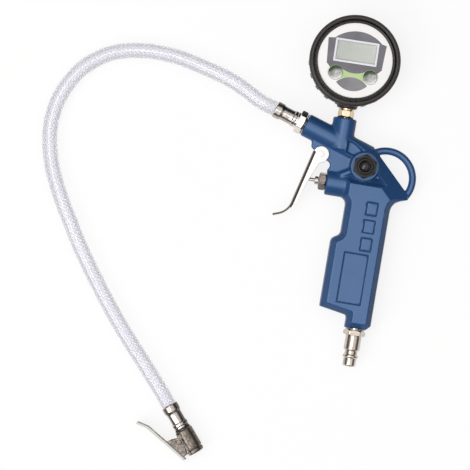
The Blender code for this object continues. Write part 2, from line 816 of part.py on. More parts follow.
def diagonal_rib():
    """The rib from the valve cylinder up to the release valve's boss."""
    foot = Vector((RIB_FOOT_X, -VALVE_DROP + VALVE_R * ROOT_SHARE))
    length = foot.length
    half = RIB_WIDTH / 2
    outline = ((0.0, -half), (length, -half), (length, half), (0.0, half))
    turn = Matrix.Rotation(math.atan2(-foot.y, -foot.x), 4, "Z")
    levels = ((RIB_DRAFT, -RIB_TALL), (0.0, -WEB_HALF), (0.0, WEB_HALF), (RIB_DRAFT, RIB_TALL))
    return pillow("rib", outline, levels, at(foot.x, foot.y, MID) @ turn)


def cut_pockets(body):
    """Sinks the pocket beside the gauge port to the web, from both sides."""
    deep = GRIP_THICK / 2 + OVERLAP
    for name, side in (("front", 1), ("rear", -1)):
        levels = sorted(((0.0, WEB_HALF * side), (-POCKET_DRAFT, deep * side)), key=lambda row: row[1])
        cut(body, pillow(f"pocket_{name}", POCKET_EDGE, levels, at(0, 0, MID)))
    return body


def casting_shapes(body):
    """Joins the cylinders, the boss, the rib and the loop to the flat shapes."""
    valve = along((-1.0, 0.0, 0.0), (0.0, VALVE_AXIS_Y, MID))
    valve_profile = (
        (0.0, VALVE_FRONT),
        (VALVE_R - LIP_CHAMFER, VALVE_FRONT),
        (VALVE_R, VALVE_FRONT - LIP_CHAMFER),
        (VALVE_R, -VALVE_REAR),
        (0.0, -VALVE_REAR),
    )
    barrel_profile = (
        (0.0, BARREL_REACH),
        (BARREL_R - LIP_CHAMFER, BARREL_REACH),
        (BARREL_R, BARREL_REACH - LIP_CHAMFER),
        (BARREL_R, 0.0),
        (0.0, 0.0),
    )
    port_profile = (
        (0.0, PORT_TOP),
        (PORT_R - LIP_CHAMFER, PORT_TOP),
        (PORT_R, PORT_TOP - LIP_CHAMFER),
        (PORT_R, PORT_FOOT),
        (0.0, PORT_FOOT),
    )
    join(
        body,
        turned("barrel", barrel_profile, along(BARREL_OUT, BARREL_FOOT), None, ROUND_STEPS, CUTTERS),
        turned("gauge_port", port_profile, along((0, 1, 0), PORT), None, ROUND_STEPS, CUTTERS),
    )
    cut_pockets(body)
    return join(
        body,
        turned("valve_cylinder", valve_profile, valve, None, ROUND_STEPS, CUTTERS),
        rod("boss", BOSS_R, 0.0, BOSS_HEIGHT, at(0, 0)),
        diagonal_rib(),
        hanging_loop(),
    )


def casting_bores(body):
    """Cuts the air passages and the trigger pin's hole."""
    valve = along((-1.0, 0.0, 0.0), (0.0, VALVE_AXIS_Y, MID))
    inlet = along((0.0, -1.0, 0.0), (INLET_X, VALVE_AXIS_Y, MID))
    barrel = along(BARREL_OUT, BARREL_FOOT)
    port = along((0.0, 1.0, 0.0), PORT)
    inlet_depth = SOCKET_END - VALVE_DROP
    screwed_top = PORT_TOP - NECK_SCREWED - OVERLAP
    screwed_barrel = BARREL_REACH - FITTING_SCREWED - OVERLAP
    bores = (
        rod("chamber_bore", CHAMBER_R, -CHAMBER_END, VALVE_FRONT + OVERLAP, valve, None, SMALL_STEPS),
        rod("passage_bore", PASSAGE_R, -INLET_X, -CHAMBER_END + OVERLAP, valve, None, 12),
        rod("inlet_bore", INLET_BORE_R, -PASSAGE_R - OVERLAP, inlet_depth + OVERLAP, inlet, None,
            SMALL_STEPS),
        rod("cross_bore", CROSS_BORE_R, -VALVE_DROP, screwed_top + OVERLAP, port, None, 12),
        rod("port_bore", NECK_STEM_R + FIT, screwed_top, PORT_TOP + OVERLAP, port, None, SMALL_STEPS),
        rod("barrel_bore", BARREL_BORE_R, 0.0, screwed_barrel + OVERLAP, barrel, None, 16),
        rod("fitting_bore", FITTING_R + FIT, screwed_barrel, BARREL_REACH + OVERLAP, barrel, None,
            SMALL_STEPS),
        rod("release_bore", RELEASE_SPIGOT_R + FIT, BOSS_HEIGHT - RELEASE_WELL,
            BOSS_HEIGHT + OVERLAP, at(0, 0), None, SMALL_STEPS),
        rod("pivot_bore", TRIGGER_PIN_R + FIT, -GRIP_THICK, GRIP_THICK * 2, at(PIVOT_X, PIVOT_Y),
            None, 16),
    )
    for bore in bores:
        cut(body, bore, solver="MANIFOLD")
    return body


def groove_frames(body):
    """Cuts the thin engraved frames on both flats of the grip."""
    frames = [
        (f"small_{index}", FRAME_X, FRAME_FIRST_Y - FRAME_PITCH * index, FRAME_SMALL, FRAME_TALL)
        for index in range(3)
    ]
    frames.append(("plate", PLATE_X, PLATE_Y, PLATE_WIDE, PLATE_LONG))
    for name, x, y, wide, tall in frames:
        outer = ((-wide / 2, -tall / 2), (wide / 2, -tall / 2), (wide / 2, tall / 2), (-wide / 2, tall / 2))
        inner = inset(outer, FRAME_GROOVE)
        for side, low, high in (
            ("front", GRIP_THICK - FRAME_DEPTH, GRIP_THICK + OVERLAP),
            ("back", -OVERLAP, FRAME_DEPTH),
        ):
            groove = band(f"groove_{name}_{side}", outer, inner, low, high, at(x, y))
            cut(body, groove, solver="MANIFOLD")
    return body


def gun_body():
    """The cast pistol body: grip, web, rail, cylinders, boss and hanging loop in one piece."""
    half = GRIP_THICK / 2
    levels = (
        (EDGE_INSET, -half),
        (EDGE_ROLL, EDGE_DROP - half),
        (0.0, EDGE_DROP + EDGE_ROLL * 6 - half),
        (0.0, half - EDGE_DROP - EDGE_ROLL * 6),
        (EDGE_ROLL, half - EDGE_DROP),
        (EDGE_INSET, half),
    )
    body = pillow("gun_body", grip_outline(), levels, at(0, 0, MID), BLUE, PARTS)
    join(
        body,
        prism("rail", rail_outline(), 0.0, GRIP_THICK),
        prism("web", web_outline(), MID - WEB_HALF, MID + WEB_HALF),
    )
    for name, line in (("diagonal", DIAGONAL_LINE), ("back", BACK_LINE)):
        cut(body, slope_cutter(f"{name}_slope_front", line, 1))
        cut(body, slope_cutter(f"{name}_slope_rear", line, -1))
    casting_shapes(body)
    casting_bores(body)
    groove_frames(body)
    return body


# ---------------------------------------------------------------- trigger
def trigger_lever():
    """The pressed steel trigger: a plate that curls forward, between two flanges with round ears."""
    half = WEB_HALF + PLAY + LEVER_SHEET
    place = at(PIVOT_X, PIVOT_Y, MID) @ Matrix.Rotation(-math.radians(LEVER_TILT), 4, "Z")
    front = -LEVER_AHEAD
    centre = (front - CURL_R, LEVER_TOP - LEVER_STRAIGHT)
    curl = math.radians(LEVER_CURL)
    lip = Vector((-math.sin(curl), -math.cos(curl))) * LEVER_LIP
    outer = [(front, LEVER_TOP), *arc(centre, CURL_R, 0, -LEVER_CURL, 7)]
    outer.append((outer[-1][0] + lip.x, outer[-1][1] + lip.y))
    inner = [(front + LEVER_SHEET, LEVER_TOP), *arc(centre, CURL_R + LEVER_SHEET, 0, -LEVER_CURL, 7)]
    inner.append((inner[-1][0] + lip.x, inner[-1][1] + lip.y))
    lever = prism("trigger_lever", [*outer, *reversed(inner)], -half, half, place, CHROME, PARTS)
    middle = CURL_R + LEVER_SHEET / 2
    flange = [
        (front + LEVER_SHEET / 2, LEVER_TOP),
        *arc((0.0, 0.0), EAR_R, EAR_FROM, EAR_TO, 11),
        *[(-ahead, -below) for ahead, below in FLANGE_EDGE],
        *arc(centre, middle, -FLANGE_END, 0, 3),
    ]
    for name, low in (("front", half - LEVER_SHEET), ("rear", -half)):
        join(lever, prism(f"flange_{name}", flange[::-1], low, low + LEVER_SHEET, place))
    return cut(lever, rod("ear_holes", TRIGGER_PIN_R + PLAY, -half * 2, half * 2, place, None, 16))


def trigger_pin():
    """The riveted pin through the lug and the trigger's ears."""
    reach = WEB_HALF + PLAY + LEVER_SHEET + FIT
    profile = (
        (0.0, reach + PIN_HEAD_H),
        (PIN_HEAD_TOP_R, reach + PIN_HEAD_H),
        (PIN_HEAD_R, reach + PIN_HEAD_H / 2),
        (PIN_HEAD_R, reach),
        (TRIGGER_PIN_R, reach),
        (TRIGGER_PIN_R, -reach),
        (PIN_HEAD_R, -reach),
        (PIN_HEAD_R, -reach - PIN_HEAD_H / 2),
        (PIN_HEAD_TOP_R, -reach - PIN_HEAD_H),
        (0.0, -reach - PIN_HEAD_H),
    )
    shade_round(turned("trigger_pin", profile, at(PIVOT_X, PIVOT_Y, MID), CHROME, 16))


# ---------------------------------------------------------------- trigger valve
VALVE_FACE = along((-1.0, 0.0, 0.0), (-VALVE_FRONT, VALVE_AXIS_Y, MID))
NUT_END = FIT + NUT_LENGTH
COLLAR_END = NUT_END + FIT + COLLAR_LENGTH
SEAT_FACE = -NUT_SPIGOT - VALVE_GALLERY
SEAL_FACE = SEAT_FACE - SEAT_LENGTH - FIT
POPPET_FACE = SEAL_FACE - SEAL_THICK - FIT
POPPET_BACK = POPPET_FACE - POPPET_LENGTH


def stem_tip():
    """How far the stem reaches ahead of the valve cylinder to touch the trigger's plate."""
    tilt = math.radians(LEVER_TILT)
    drop = PIVOT_Y - VALVE_AXIS_Y
    plate = (LEVER_AHEAD - LEVER_SHEET + drop * math.sin(tilt)) / math.cos(tilt) - PIVOT_X
    return plate - VALVE_FRONT - FIT - STEM_TIP_R * math.tan(tilt)


def valve_nut():
    """The hexagon nut that closes the valve cylinder, with its threaded spigot."""
    nut = chamfered_hex("valve_nut", NUT_ACROSS, FIT, NUT_END, VALVE_FACE, CHROME)
    join(nut, rod("nut_spigot", CHAMBER_R - FIT, -NUT_SPIGOT, FIT + OVERLAP, VALVE_FACE, None, SMALL_STEPS))
    return cut(nut, rod("nut_bore", STEM_R + PLAY, -NUT_SPIGOT * 2, NUT_END * 2, VALVE_FACE, None, 12))


def stem_collar():
    """The gland ring round the stem ahead of the nut."""
    low = NUT_END + FIT
    profile = (
        (STEM_R + PLAY, COLLAR_END),
        (COLLAR_R - LIP_CHAMFER / 2, COLLAR_END),
        (COLLAR_R, COLLAR_END - LIP_CHAMFER / 2),
        (COLLAR_R, low),
        (STEM_R + PLAY, low),
    )
    shade_round(turned("stem_collar", profile, VALVE_FACE, CHROME, SMALL_STEPS, None, True))


def valve_train():
    """The seat, the sprung stem with its poppet, and the poppet's seal."""
    seat_low = SEAT_FACE - SEAT_LENGTH
    ring("valve_seat", CHAMBER_R - FIT, SEAT_HOLE_R, seat_low, SEAT_FACE, VALVE_FACE, BRASS, SMALL_STEPS)
    ring("poppet_seal", POPPET_R, STEM_R + FIT, SEAL_FACE - SEAL_THICK, SEAL_FACE, VALVE_FACE,
         SEAL, SMALL_STEPS)
    tip = stem_tip()
    profile = (
        (0.0, tip),
        (STEM_TIP_R, tip),
        (STEM_R, tip - STEM_R / 2),
        (STEM_R, POPPET_FACE),
        (POPPET_R, POPPET_FACE),
        (POPPET_R, POPPET_BACK),
        (0.0, POPPET_BACK),
    )
    stem = turned("valve_stem", profile, VALVE_FACE, CHROME, SMALL_STEPS)
    shade_round(stem)
    coil_r = CHAMBER_R - PLAY * 2 - SPRING_WIRE_R
    low = -VALVE_FRONT - CHAMBER_END + FIT
    spring("valve_spring", coil_r, SPRING_WIRE_R, low, POPPET_BACK - FIT, VALVE_SPRING_TURNS,
           VALVE_FACE, STEEL)


# ---------------------------------------------------------------- release valve
HEX_BASE = BOSS_HEIGHT + FIT
CROWN_BASE = HEX_BASE + RELEASE_HEX
CROWN_TOP = CROWN_BASE + RELEASE_CROWN
POCKET_FLOOR = CROWN_TOP - RELEASE_POCKET
BUTTON_BASE = CROWN_TOP - BUTTON_SKIRT


def release_valve_body():
    """The black hexagon screwed into the boss, with a round crown and a well for the button."""
    body = chamfered_hex("release_valve_body", RELEASE_ACROSS, HEX_BASE, CROWN_BASE, at(0, 0), BLACK, 30.0)
    profile = (
        (0.0, CROWN_TOP),
        (RELEASE_CROWN_R - LIP_CHAMFER, CROWN_TOP),
        (RELEASE_CROWN_R, CROWN_TOP - LIP_CHAMFER),
        (RELEASE_CROWN_R, HEX_BASE + OVERLAP),
        (RELEASE_SPIGOT_R, HEX_BASE + OVERLAP),
        (RELEASE_SPIGOT_R, BOSS_HEIGHT - RELEASE_SPIGOT),
        (0.0, BOSS_HEIGHT - RELEASE_SPIGOT),
    )
    join(body, turned("release_crown", profile, at(0, 0), None, ROUND_STEPS, CUTTERS))
    cut(body, rod("button_well", BUTTON_R + PLAY, POCKET_FLOOR, CROWN_TOP + OVERLAP, at(0, 0), None, 24))
    low = BOSS_HEIGHT - RELEASE_SPIGOT - OVERLAP
    return cut(body, rod("stem_bore", RELEASE_STEM_R + PLAY, low, POCKET_FLOOR + OVERLAP, at(0, 0), None, 12))


def release_button():
    """The domed button, with its stem and the small valve disc under the spigot."""
    top = CROWN_TOP + BUTTON_STANDS
    disc = BOSS_HEIGHT - RELEASE_SPIGOT - FIT
    dome = [
        (BUTTON_R * math.sin(math.radians(angle)), top - BUTTON_DOME * (1 - math.cos(math.radians(angle))))
        for angle in (0, 22, 45, 68, 90)
    ]
    profile = (
        *dome,
        (BUTTON_R, BUTTON_BASE),
        (RELEASE_STEM_R, BUTTON_BASE),
        (RELEASE_STEM_R, disc),
        (RELEASE_STEM_R * 2, disc),
        (RELEASE_STEM_R * 2, disc - RELEASE_STEM_R),
        (0.0, disc - RELEASE_STEM_R),
    )
    shade_round(turned("release_button", profile, at(0, 0), BLACK, 24))


def release_spring():
    """The coil under the button."""
    radius = BUTTON_R - SPRING_WIRE_R
    spring("release_spring", radius, SPRING_WIRE_R, POCKET_FLOOR + FIT, BUTTON_BASE - FIT,
           RELEASE_SPRING_TURNS, at(0, 0), STEEL)


# ---------------------------------------------------------------- gauge
PORT_FRAME = along((0.0, 1.0, 0.0), PORT)


def gauge_neck():
    """The brass stem of the gauge: a hexagon under a round collar, screwed into the port."""
    neck = chamfered_hex("gauge_neck", NECK_HEX, NECK_HEX_BASE, NECK_HEX_TOP, PORT_FRAME, BRASS)
    profile = (
        (0.0, NECK_END),
        (NECK_STEM_R, NECK_END),
        (NECK_STEM_R, NECK_COLLAR_TOP),
        (NECK_COLLAR_R, NECK_COLLAR_TOP),
        (NECK_COLLAR_R, NECK_HEX_TOP + LIP_CHAMFER),
        (NECK_COLLAR_R - LIP_CHAMFER, NECK_HEX_TOP - OVERLAP / 4),
        (NECK_STEM_R, NECK_HEX_TOP - OVERLAP / 4),
        (NECK_STEM_R, PORT_TOP - NECK_SCREWED),
        (0.0, PORT_TOP - NECK_SCREWED),
    )
    join(neck, turned("neck_stem", profile, PORT_FRAME, None, 24, CUTTERS))
    low = PORT_TOP - NECK_SCREWED - OVERLAP
    cut(neck, rod("neck_bore", NECK_BORE_R, low, NECK_END + OVERLAP, PORT_FRAME, None, 12))
    ring("neck_seal", NECK_COLLAR_R, NECK_STEM_R + FIT, PORT_TOP + FIT, PORT_TOP + FIT + NECK_SEAL,
         PORT_FRAME, SEAL, 24)
    return neck


def ribbed_outline():
    """The grip ribs' outline, anticlockwise, rooted just under the boot's side."""
    side = BOOT_R - BOOT_SIDE_IN
    root = side - OVERLAP
    outline = []
    for index in range(BOOT_RIBS):
        start = 360.0 * index / BOOT_RIBS - RIB_ARC / 2
        end = start + RIB_ARC
        outline += arc((0.0, 0.0), side + RIB_STANDS, start + RIB_FLANK, end - RIB_FLANK, 1)
        outline += arc((0.0, 0.0), root, end, start + 360.0 / BOOT_RIBS, 1)
    return outline


def gauge_boot():
    """The rubber boot: a cup with a rounded rim, a ribbed side and a sleeve for the neck."""
    place = at(GAUGE.x, GAUGE.y)
    side = BOOT_R - BOOT_SIDE_IN
    profile = (
        (0.0, GAUGE_DEPTH),
        (BOOT_R - BOOT_ROUND, GAUGE_DEPTH),
        (BOOT_R - BOOT_ROUND * ROUND_MID, GAUGE_DEPTH - BOOT_ROUND * ROUND_MID),
        (BOOT_R, GAUGE_DEPTH - BOOT_ROUND),
        (BOOT_R, GAUGE_DEPTH - BOOT_RIM + BOOT_SIDE_IN),
        (side, GAUGE_DEPTH - BOOT_RIM),
        (side, BOOT_ROUND),
        (side - BOOT_ROUND * ROUND_MID, BOOT_ROUND * ROUND_MID),
        (side - BOOT_ROUND, 0.0),
        (0.0, 0.0),
    )
    boot = turned("gauge_boot", profile, place, RUBBER, BOOT_RIBS * 2)
    sleeve_low = NECK_COLLAR_TOP + FIT
    sleeve_high = GAUGE_Y - BOOT_R + BOOT_WALL
    join(
        boot,
        prism("boot_ribs", ribbed_outline(), RIB_FROM, RIB_TO, place),
        rod("boot_sleeve", BOOT_BOSS_R, sleeve_low, sleeve_high, PORT_FRAME, None, 24),
    )
    cavity = CASE_R + FIT
    lip = BOOT_R - BOOT_LIP
    hollow = (
        (0.0, GAUGE_DEPTH + OVERLAP),
        (lip + OVERLAP, GAUGE_DEPTH + OVERLAP),
        (cavity, GAUGE_DEPTH - (lip - cavity)),
        (cavity, BOOT_FLOOR),
        (0.0, BOOT_FLOOR),
    )
    cut(boot, turned("boot_hollow", hollow, place, None, BOOT_RIBS * 2, CUTTERS))
    cut(boot, rod("boot_back_hole", BOOT_BACK_HOLE_R, -OVERLAP, BOOT_FLOOR + OVERLAP, place))
    return cut(boot, rod("neck_hole", NECK_STEM_R + FIT, sleeve_low - OVERLAP, sleeve_high + BOOT_WALL,
                         PORT_FRAME, None, SMALL_STEPS))


def gauge_case():
    """The round plastic case: a cup with holes for the neck and for the battery's cover."""
    place = at(GAUGE.x, GAUGE.y)
    inside = CASE_R - CASE_WALL
    profile = (
        (inside, CASE_RIM),
        (CASE_R, CASE_RIM),
        (CASE_R, CASE_BACK),
        (COVER_R + FIT, CASE_BACK),
        (COVER_R + FIT, CASE_BACK + CASE_WALL),
        (inside, CASE_BACK + CASE_WALL),
    )
    case = turned("gauge_case", profile, place, GREY, 40, None, True)
    low = GAUGE_Y - CASE_R - OVERLAP
    cut(case, rod("case_neck_hole", NECK_STEM_R + FIT, low, low + CASE_WALL + OVERLAP * 2, PORT_FRAME,
                  None, SMALL_STEPS))
    ledges = CASE_LEDGE
    low_z = BOARD_TOP - BOARD_THICK - FIT - ledges
    ledge = ring("board_ledge", inside + CASE_WALL / 2, BOARD_R - ledges, low_z, low_z + ledges, place,
                 None, 40, CUTTERS)
    return join(case, ledge)


def battery_cover():
    """The round cover in the case's back, with a slot for a coin."""
    place = at(GAUGE.x, GAUGE.y)
    top = CASE_BACK + CASE_WALL
    profile = (
        (0.0, top),
        (COVER_R, top),
        (COVER_R, CASE_BACK + LIP_CHAMFER / 2),
        (COVER_R - LIP_CHAMFER / 2, CASE_BACK),
        (0.0, CASE_BACK),
    )
    cover = turned("battery_cover", profile, place, BLACK, ROUND_STEPS)
    reach = COIN_SLOT_LONG / 2
    low = (-reach, -COIN_SLOT / 2, CASE_BACK - OVERLAP)
    return cut(cover, block("coin_slot", low, (reach, COIN_SLOT / 2, CASE_BACK + CASE_WALL / 2), place))


def bezel():
    """The bezel that clamps the dial into the boot."""
    outer = CASE_R - BEZEL_GROOVE
    panel = outer - BEZEL_WALL
    low = CASE_RIM + FIT
    step = DIAL_Z + FIT
    profile = (
        (panel, step),
        (outer - BEZEL_WIDE, step),
        (outer - BEZEL_WIDE, GAUGE_DEPTH - LIP_CHAMFER),
        (outer - BEZEL_WIDE + LIP_CHAMFER, GAUGE_DEPTH - LIP_CHAMFER / 2),
        (outer - LIP_CHAMFER / 2, GAUGE_DEPTH - LIP_CHAMFER / 2),
        (outer, GAUGE_DEPTH - LIP_CHAMFER),
        (outer, low),
        (panel, low),
    )
    shade_round(turned("bezel", profile, at(GAUGE.x, GAUGE.y), BLACK, 48, None, True))


def dial_panel():
    """The white dial, with its window and the holes for two keys."""
    place = at(GAUGE.x, GAUGE.y)
    radius = CASE_R - BEZEL_GROOVE - BEZEL_WALL - FIT
    panel = rod("dial_panel", radius, DIAL_Z - PANEL_THICK, DIAL_Z, place, WHITE, 48, PARTS)
    half_x = WINDOW_X / 2 + WINDOW_FRAME + FIT
    half_y = WINDOW_Y / 2 + WINDOW_FRAME + FIT
    low = (-half_x, WINDOW_UP - half_y, 0.0)
    cut(panel, block("window_hole", low, (half_x, WINDOW_UP + half_y, GAUGE_DEPTH), place))
    for name, side in (("left", -1), ("right", 1)):
        hole = place @ at(side * KEY_APART / 2, -KEY_DOWN)
        cut(panel, rod(f"key_hole_{name}", KEY_R + FIT, 0.0, GAUGE_DEPTH, hole, None, 24))
    return panel


def rectangle(wide, tall, centre_y=0.0):
    """The corners of a rectangle about a point on the Y axis."""
    return (
        (-wide / 2, centre_y - tall / 2),
        (wide / 2, centre_y - tall / 2),
        (wide / 2, centre_y + tall / 2),
        (-wide / 2, centre_y + tall / 2),
    )


def display():
    """The display's raised frame, the display in it and the clear cover over it."""
    place = at(GAUGE.x, GAUGE.y)
    outer = rectangle(WINDOW_X + WINDOW_FRAME * 2, WINDOW_Y + WINDOW_FRAME * 2, WINDOW_UP)
    inner = rectangle(WINDOW_X, WINDOW_Y, WINDOW_UP)
    base = BOARD_TOP + FIT
    frame = band("display_frame", outer, inner, base, DIAL_Z + FRAME_STANDS, place, PARTS)
    frame.data.materials.append(LILAC)
    face = rectangle(WINDOW_X - FIT * 2, WINDOW_Y - FIT * 2, WINDOW_UP)
    lcd_top = DIAL_Z - LENS_THICK - FIT
    prism("lcd_module", face, base, lcd_top, place, LCD, PARTS)
    prism("lcd_window", face, lcd_top + FIT, lcd_top + FIT + LENS_THICK, place, CLEAR, PARTS)


def keys():
    """The two push keys of the gauge, each with a flange behind the dial and a rubber dome."""
    for name, side in (("left", -1), ("right", 1)):
        place = at(GAUGE.x, GAUGE.y) @ at(side * KEY_APART / 2, -KEY_DOWN)
        back = DIAL_Z - PANEL_THICK - FIT
        top = DIAL_Z + KEY_STANDS
        profile = (
            (0.0, top - KEY_DISH),
            (KEY_R / 2, top - KEY_DISH * ROOT_SHARE),
            (KEY_R - KEY_EDGE, top),
            (KEY_R, top - KEY_EDGE),
            (KEY_R, back),
            (KEY_R + KEY_FLANGE, back),
            (KEY_R + KEY_FLANGE, back - KEY_FLANGE),
            (0.0, back - KEY_FLANGE),
        )
        shade_round(turned(f"key_{name}", profile, place, NICKEL, 24))
        top = back - KEY_FLANGE - FIT
        foot = BOARD_TOP + FIT
        dome = (
            (DOME_TOP_R - DOME_WALL, top),
            (DOME_TOP_R, top),
            (DOME_TOP_R, top - DOME_WALL),
            (DOME_FOOT_R - DOME_WALL, foot + DOME_FOOT),
            (DOME_FOOT_R, foot + DOME_FOOT),
            (DOME_FOOT_R, foot),
            (DOME_FOOT_R - DOME_WALL * 2, foot),
            (DOME_TOP_R - DOME_WALL, top - DOME_WALL * 2),
        )
        shade_round(turned(f"key_dome_{name}", dome, place, RUBBER, SMALL_STEPS, None, True))


def gauge_works():
    """The circuit board, the cell with its clip, and the pressure sensor on the neck."""
    place = at(GAUGE.x, GAUGE.y)
    low = BOARD_TOP - BOARD_THICK
    rod("circuit_board", BOARD_R, low, BOARD_TOP, place, GREEN, 40, PARTS)
    cell_low = CASE_BACK + CASE_WALL + FIT
    rod("battery_cell", CELL_R, cell_low, cell_low + CELL_THICK, place, NICKEL, ROUND_STEPS, PARTS)
    clip_low = cell_low + CELL_THICK + FIT
    half = CLIP_WIDE / 2
    clip = block("battery_clip", (-CELL_R, -half, clip_low), (CELL_R, half, clip_low + CLIP_THICK),
                 place, STEEL, PARTS)
    post = block("clip_post", (-half, -half, clip_low), (half, half, low - FIT), place)
    join(clip, post)
    start = NECK_END + FIT
    sensor = rod("pressure_sensor", SENSOR_R, start, start + SENSOR_LENGTH, PORT_FRAME, STEEL, 24, PARTS)
    shade_round(sensor)


# ---------------------------------------------------------------- air plug
def air_plug():
    """The quick-release plug screwed into the grip's end, and its washer."""
    place = along((0.0, -1.0, 0.0), (INLET_X, -SOCKET_END, MID))
    ring("plug_washer", PLUG_HEX / 2 - FIT, PLUG_THREAD_R + FIT, FIT, FIT + PLUG_WASHER, place, BRASS, 24)
    base = FIT * 2 + PLUG_WASHER
    plug = chamfered_hex("air_plug", PLUG_HEX, base, base + PLUG_HEX_LENGTH, place, NICKEL)
    shaft = base + PLUG_HEX_LENGTH + PLUG_SHAFT
    neck = shaft + PLUG_NECK
    ridge = neck + PLUG_RIDGE
    tip = ridge + PLUG_TIP
    profile = (
        (0.0, tip),
        (PLUG_TIP_R - LIP_CHAMFER, tip),
        (PLUG_TIP_R, tip - LIP_CHAMFER),
        (PLUG_TIP_R, ridge + LIP_CHAMFER),
        (PLUG_RIDGE_R, ridge),
        (PLUG_RIDGE_R, neck),
        (PLUG_NECK_R, neck - LIP_CHAMFER),
        (PLUG_NECK_R, shaft + LIP_CHAMFER),
        (PLUG_SHAFT_R, shaft),
        (PLUG_SHAFT_R, base + PLUG_HEX_LENGTH - OVERLAP),
        (PLUG_THREAD_R, base + PLUG_HEX_LENGTH - OVERLAP),
        (PLUG_THREAD_R, -PLUG_SCREWED),
        (0.0, -PLUG_SCREWED),
    )
    join(plug, turned("plug_shaft", profile, place, None, ROUND_STEPS, CUTTERS))
    return cut(plug, rod("plug_bore", PLUG_BORE_R, -PLUG_SCREWED - OVERLAP, tip + OVERLAP, place,
                         None, SMALL_STEPS))


# ---------------------------------------------------------------- hose and fittings
def ferrule_profile(low):
    """A crimped ferrule from its fitting end up to its flared hose end, down its outer side."""
    high = low + FERRULE_LENGTH
    return (
        (FERRULE_BORE_R, high),
        (FERRULE_FLARE_R, high),
        (FERRULE_FLARE_R, high - FERRULE_FLARE),
        (FERRULE_R, high - FERRULE_FLARE - FERRULE_TAPER),
        (FERRULE_R, low + FERRULE_RING + FERRULE_CRIMP),
        (FERRULE_RING_R, low + FERRULE_RING),
        (FERRULE_RING_R, low),
        (FERRULE_BORE_R, low),
    )


BARREL_FRAME = along(BARREL_OUT, BARREL_FACE)
HEX_LOW = FIT * 2 + SEAL_DISC
FERRULE_LOW = HEX_LOW + FITTING_HEX_LENGTH + FITTING_NECK + FIT
HOSE_START = BARREL_FACE + BARREL_OUT * (FERRULE_LOW + FERRULE_LENGTH + FIT)


def hose_fitting():
    """The hexagon fitting screwed into the barrel, its seal and its ferrule."""
    fitting = chamfered_hex("hose_fitting", FITTING_HEX, HEX_LOW, HEX_LOW + FITTING_HEX_LENGTH,
                            BARREL_FRAME, NICKEL)
    neck = HEX_LOW + FITTING_HEX_LENGTH + FITTING_NECK
    tail_r = FERRULE_BORE_R - FIT
    profile = (
        (0.0, FERRULE_LOW + FERRULE_LENGTH - FERRULE_FLARE),
        (tail_r, FERRULE_LOW + FERRULE_LENGTH - FERRULE_FLARE),
        (tail_r, neck),
        (FITTING_NECK_R, neck),
        (FITTING_NECK_R, HEX_LOW + OVERLAP),
        (FITTING_R, HEX_LOW + OVERLAP),
        (FITTING_R, -FITTING_SCREWED),
        (0.0, -FITTING_SCREWED),
    )
    join(fitting, turned("fitting_shaft", profile, BARREL_FRAME, None, 24, CUTTERS))
    cut(fitting, rod("fitting_airway", FITTING_BORE_R, -FITTING_SCREWED - OVERLAP,
                     FERRULE_LOW + FERRULE_LENGTH, BARREL_FRAME, None, 12))
    ring("fitting_seal", BARREL_R - LIP_CHAMFER, FITTING_R + FIT, FIT, FIT + SEAL_DISC, BARREL_FRAME,
         SEAL, 24)
    ferrule = turned("ferrule_gun", ferrule_profile(FERRULE_LOW), BARREL_FRAME, NICKEL, 24, None, True)
    shade_round(ferrule)


CHUCK_AT = Vector((CHUCK_X, CHUCK_Y, CHUCK_Z))
CHUCK_FRAME = along(CHUCK_ALONG, CHUCK_AT)
CHUCK_FLAT = Matrix.Translation(CHUCK_AT) @ Matrix.Rotation(math.radians(CHUCK_TURN), 4, "Z")
HOSE_END = CHUCK_AT - CHUCK_ALONG * (FERRULE_LENGTH + FIT * 2)
BODY_LOW = TAIL + TAIL_SEAL + FIT * 2
BODY_HIGH = BODY_LOW + CHUCK_LENGTH
MOUTH_FLOOR = BODY_HIGH - MOUTH_DEPTH


def hose():
    """The hose between its two ferrules, square to both where it meets them."""
    rest = HOSE_OD / 2 + HOSE_LIFT
    points = [
        HOSE_START,
        HOSE_START + BARREL_OUT * HOSE_OD,
        *[Vector((x, y, rest + lift)) for x, y, lift in HOSE_ROUTE],
        HOSE_END - CHUCK_ALONG * HOSE_OD,
        HOSE_END,
    ]
    line, length = smooth_line(points, HOSE_PITCH)
    print(f"hose: {(length + HOSE_OD * 2) * 1000:.0f} mm between its ferrules")
    cord = round_curve("hose", [HOSE_START, *line, HOSE_END], HOSE_OD / 2, 4)
    cord.data.materials.append(HOSE)
    PARTS.objects.link(cord)


# ---------------------------------------------------------------- chuck
def chuck_tail():
    """The barbed tail that carries the ferrule and screws into the chuck, and its seal."""
    tail_r = FERRULE_BORE_R - FIT
    low = -FERRULE_LENGTH + FERRULE_FLARE
    profile = (
        (AIRWAY_R, BODY_LOW + TAIL_SCREWED),
        (TAIL_SPIGOT_R, BODY_LOW + TAIL_SCREWED),
        (TAIL_SPIGOT_R, TAIL),
        (TAIL_R, TAIL),
        (TAIL_R, 0.0),
        (tail_r, 0.0),
        (tail_r, low),
        (AIRWAY_R, low),
    )
    turned("chuck_tail", profile, CHUCK_FRAME, NICKEL, 24, None, True)
    ring("tail_seal", TAIL_R + FIT, TAIL_SPIGOT_R + FIT, TAIL + FIT, TAIL + FIT + TAIL_SEAL, CHUCK_FRAME,
         SEAL, 24)
    back = along(-CHUCK_ALONG, CHUCK_AT)
    ferrule = turned("ferrule_chuck", ferrule_profile(FIT), back, NICKEL, 24, None, True)
    shade_round(ferrule)


CHUCK_PIVOT = (BODY_LOW + CHUCK_PIVOT_A, -CHUCK_PIVOT_P)
CHUCK_PIVOT_FRAME = CHUCK_FLAT @ at(*CHUCK_PIVOT)


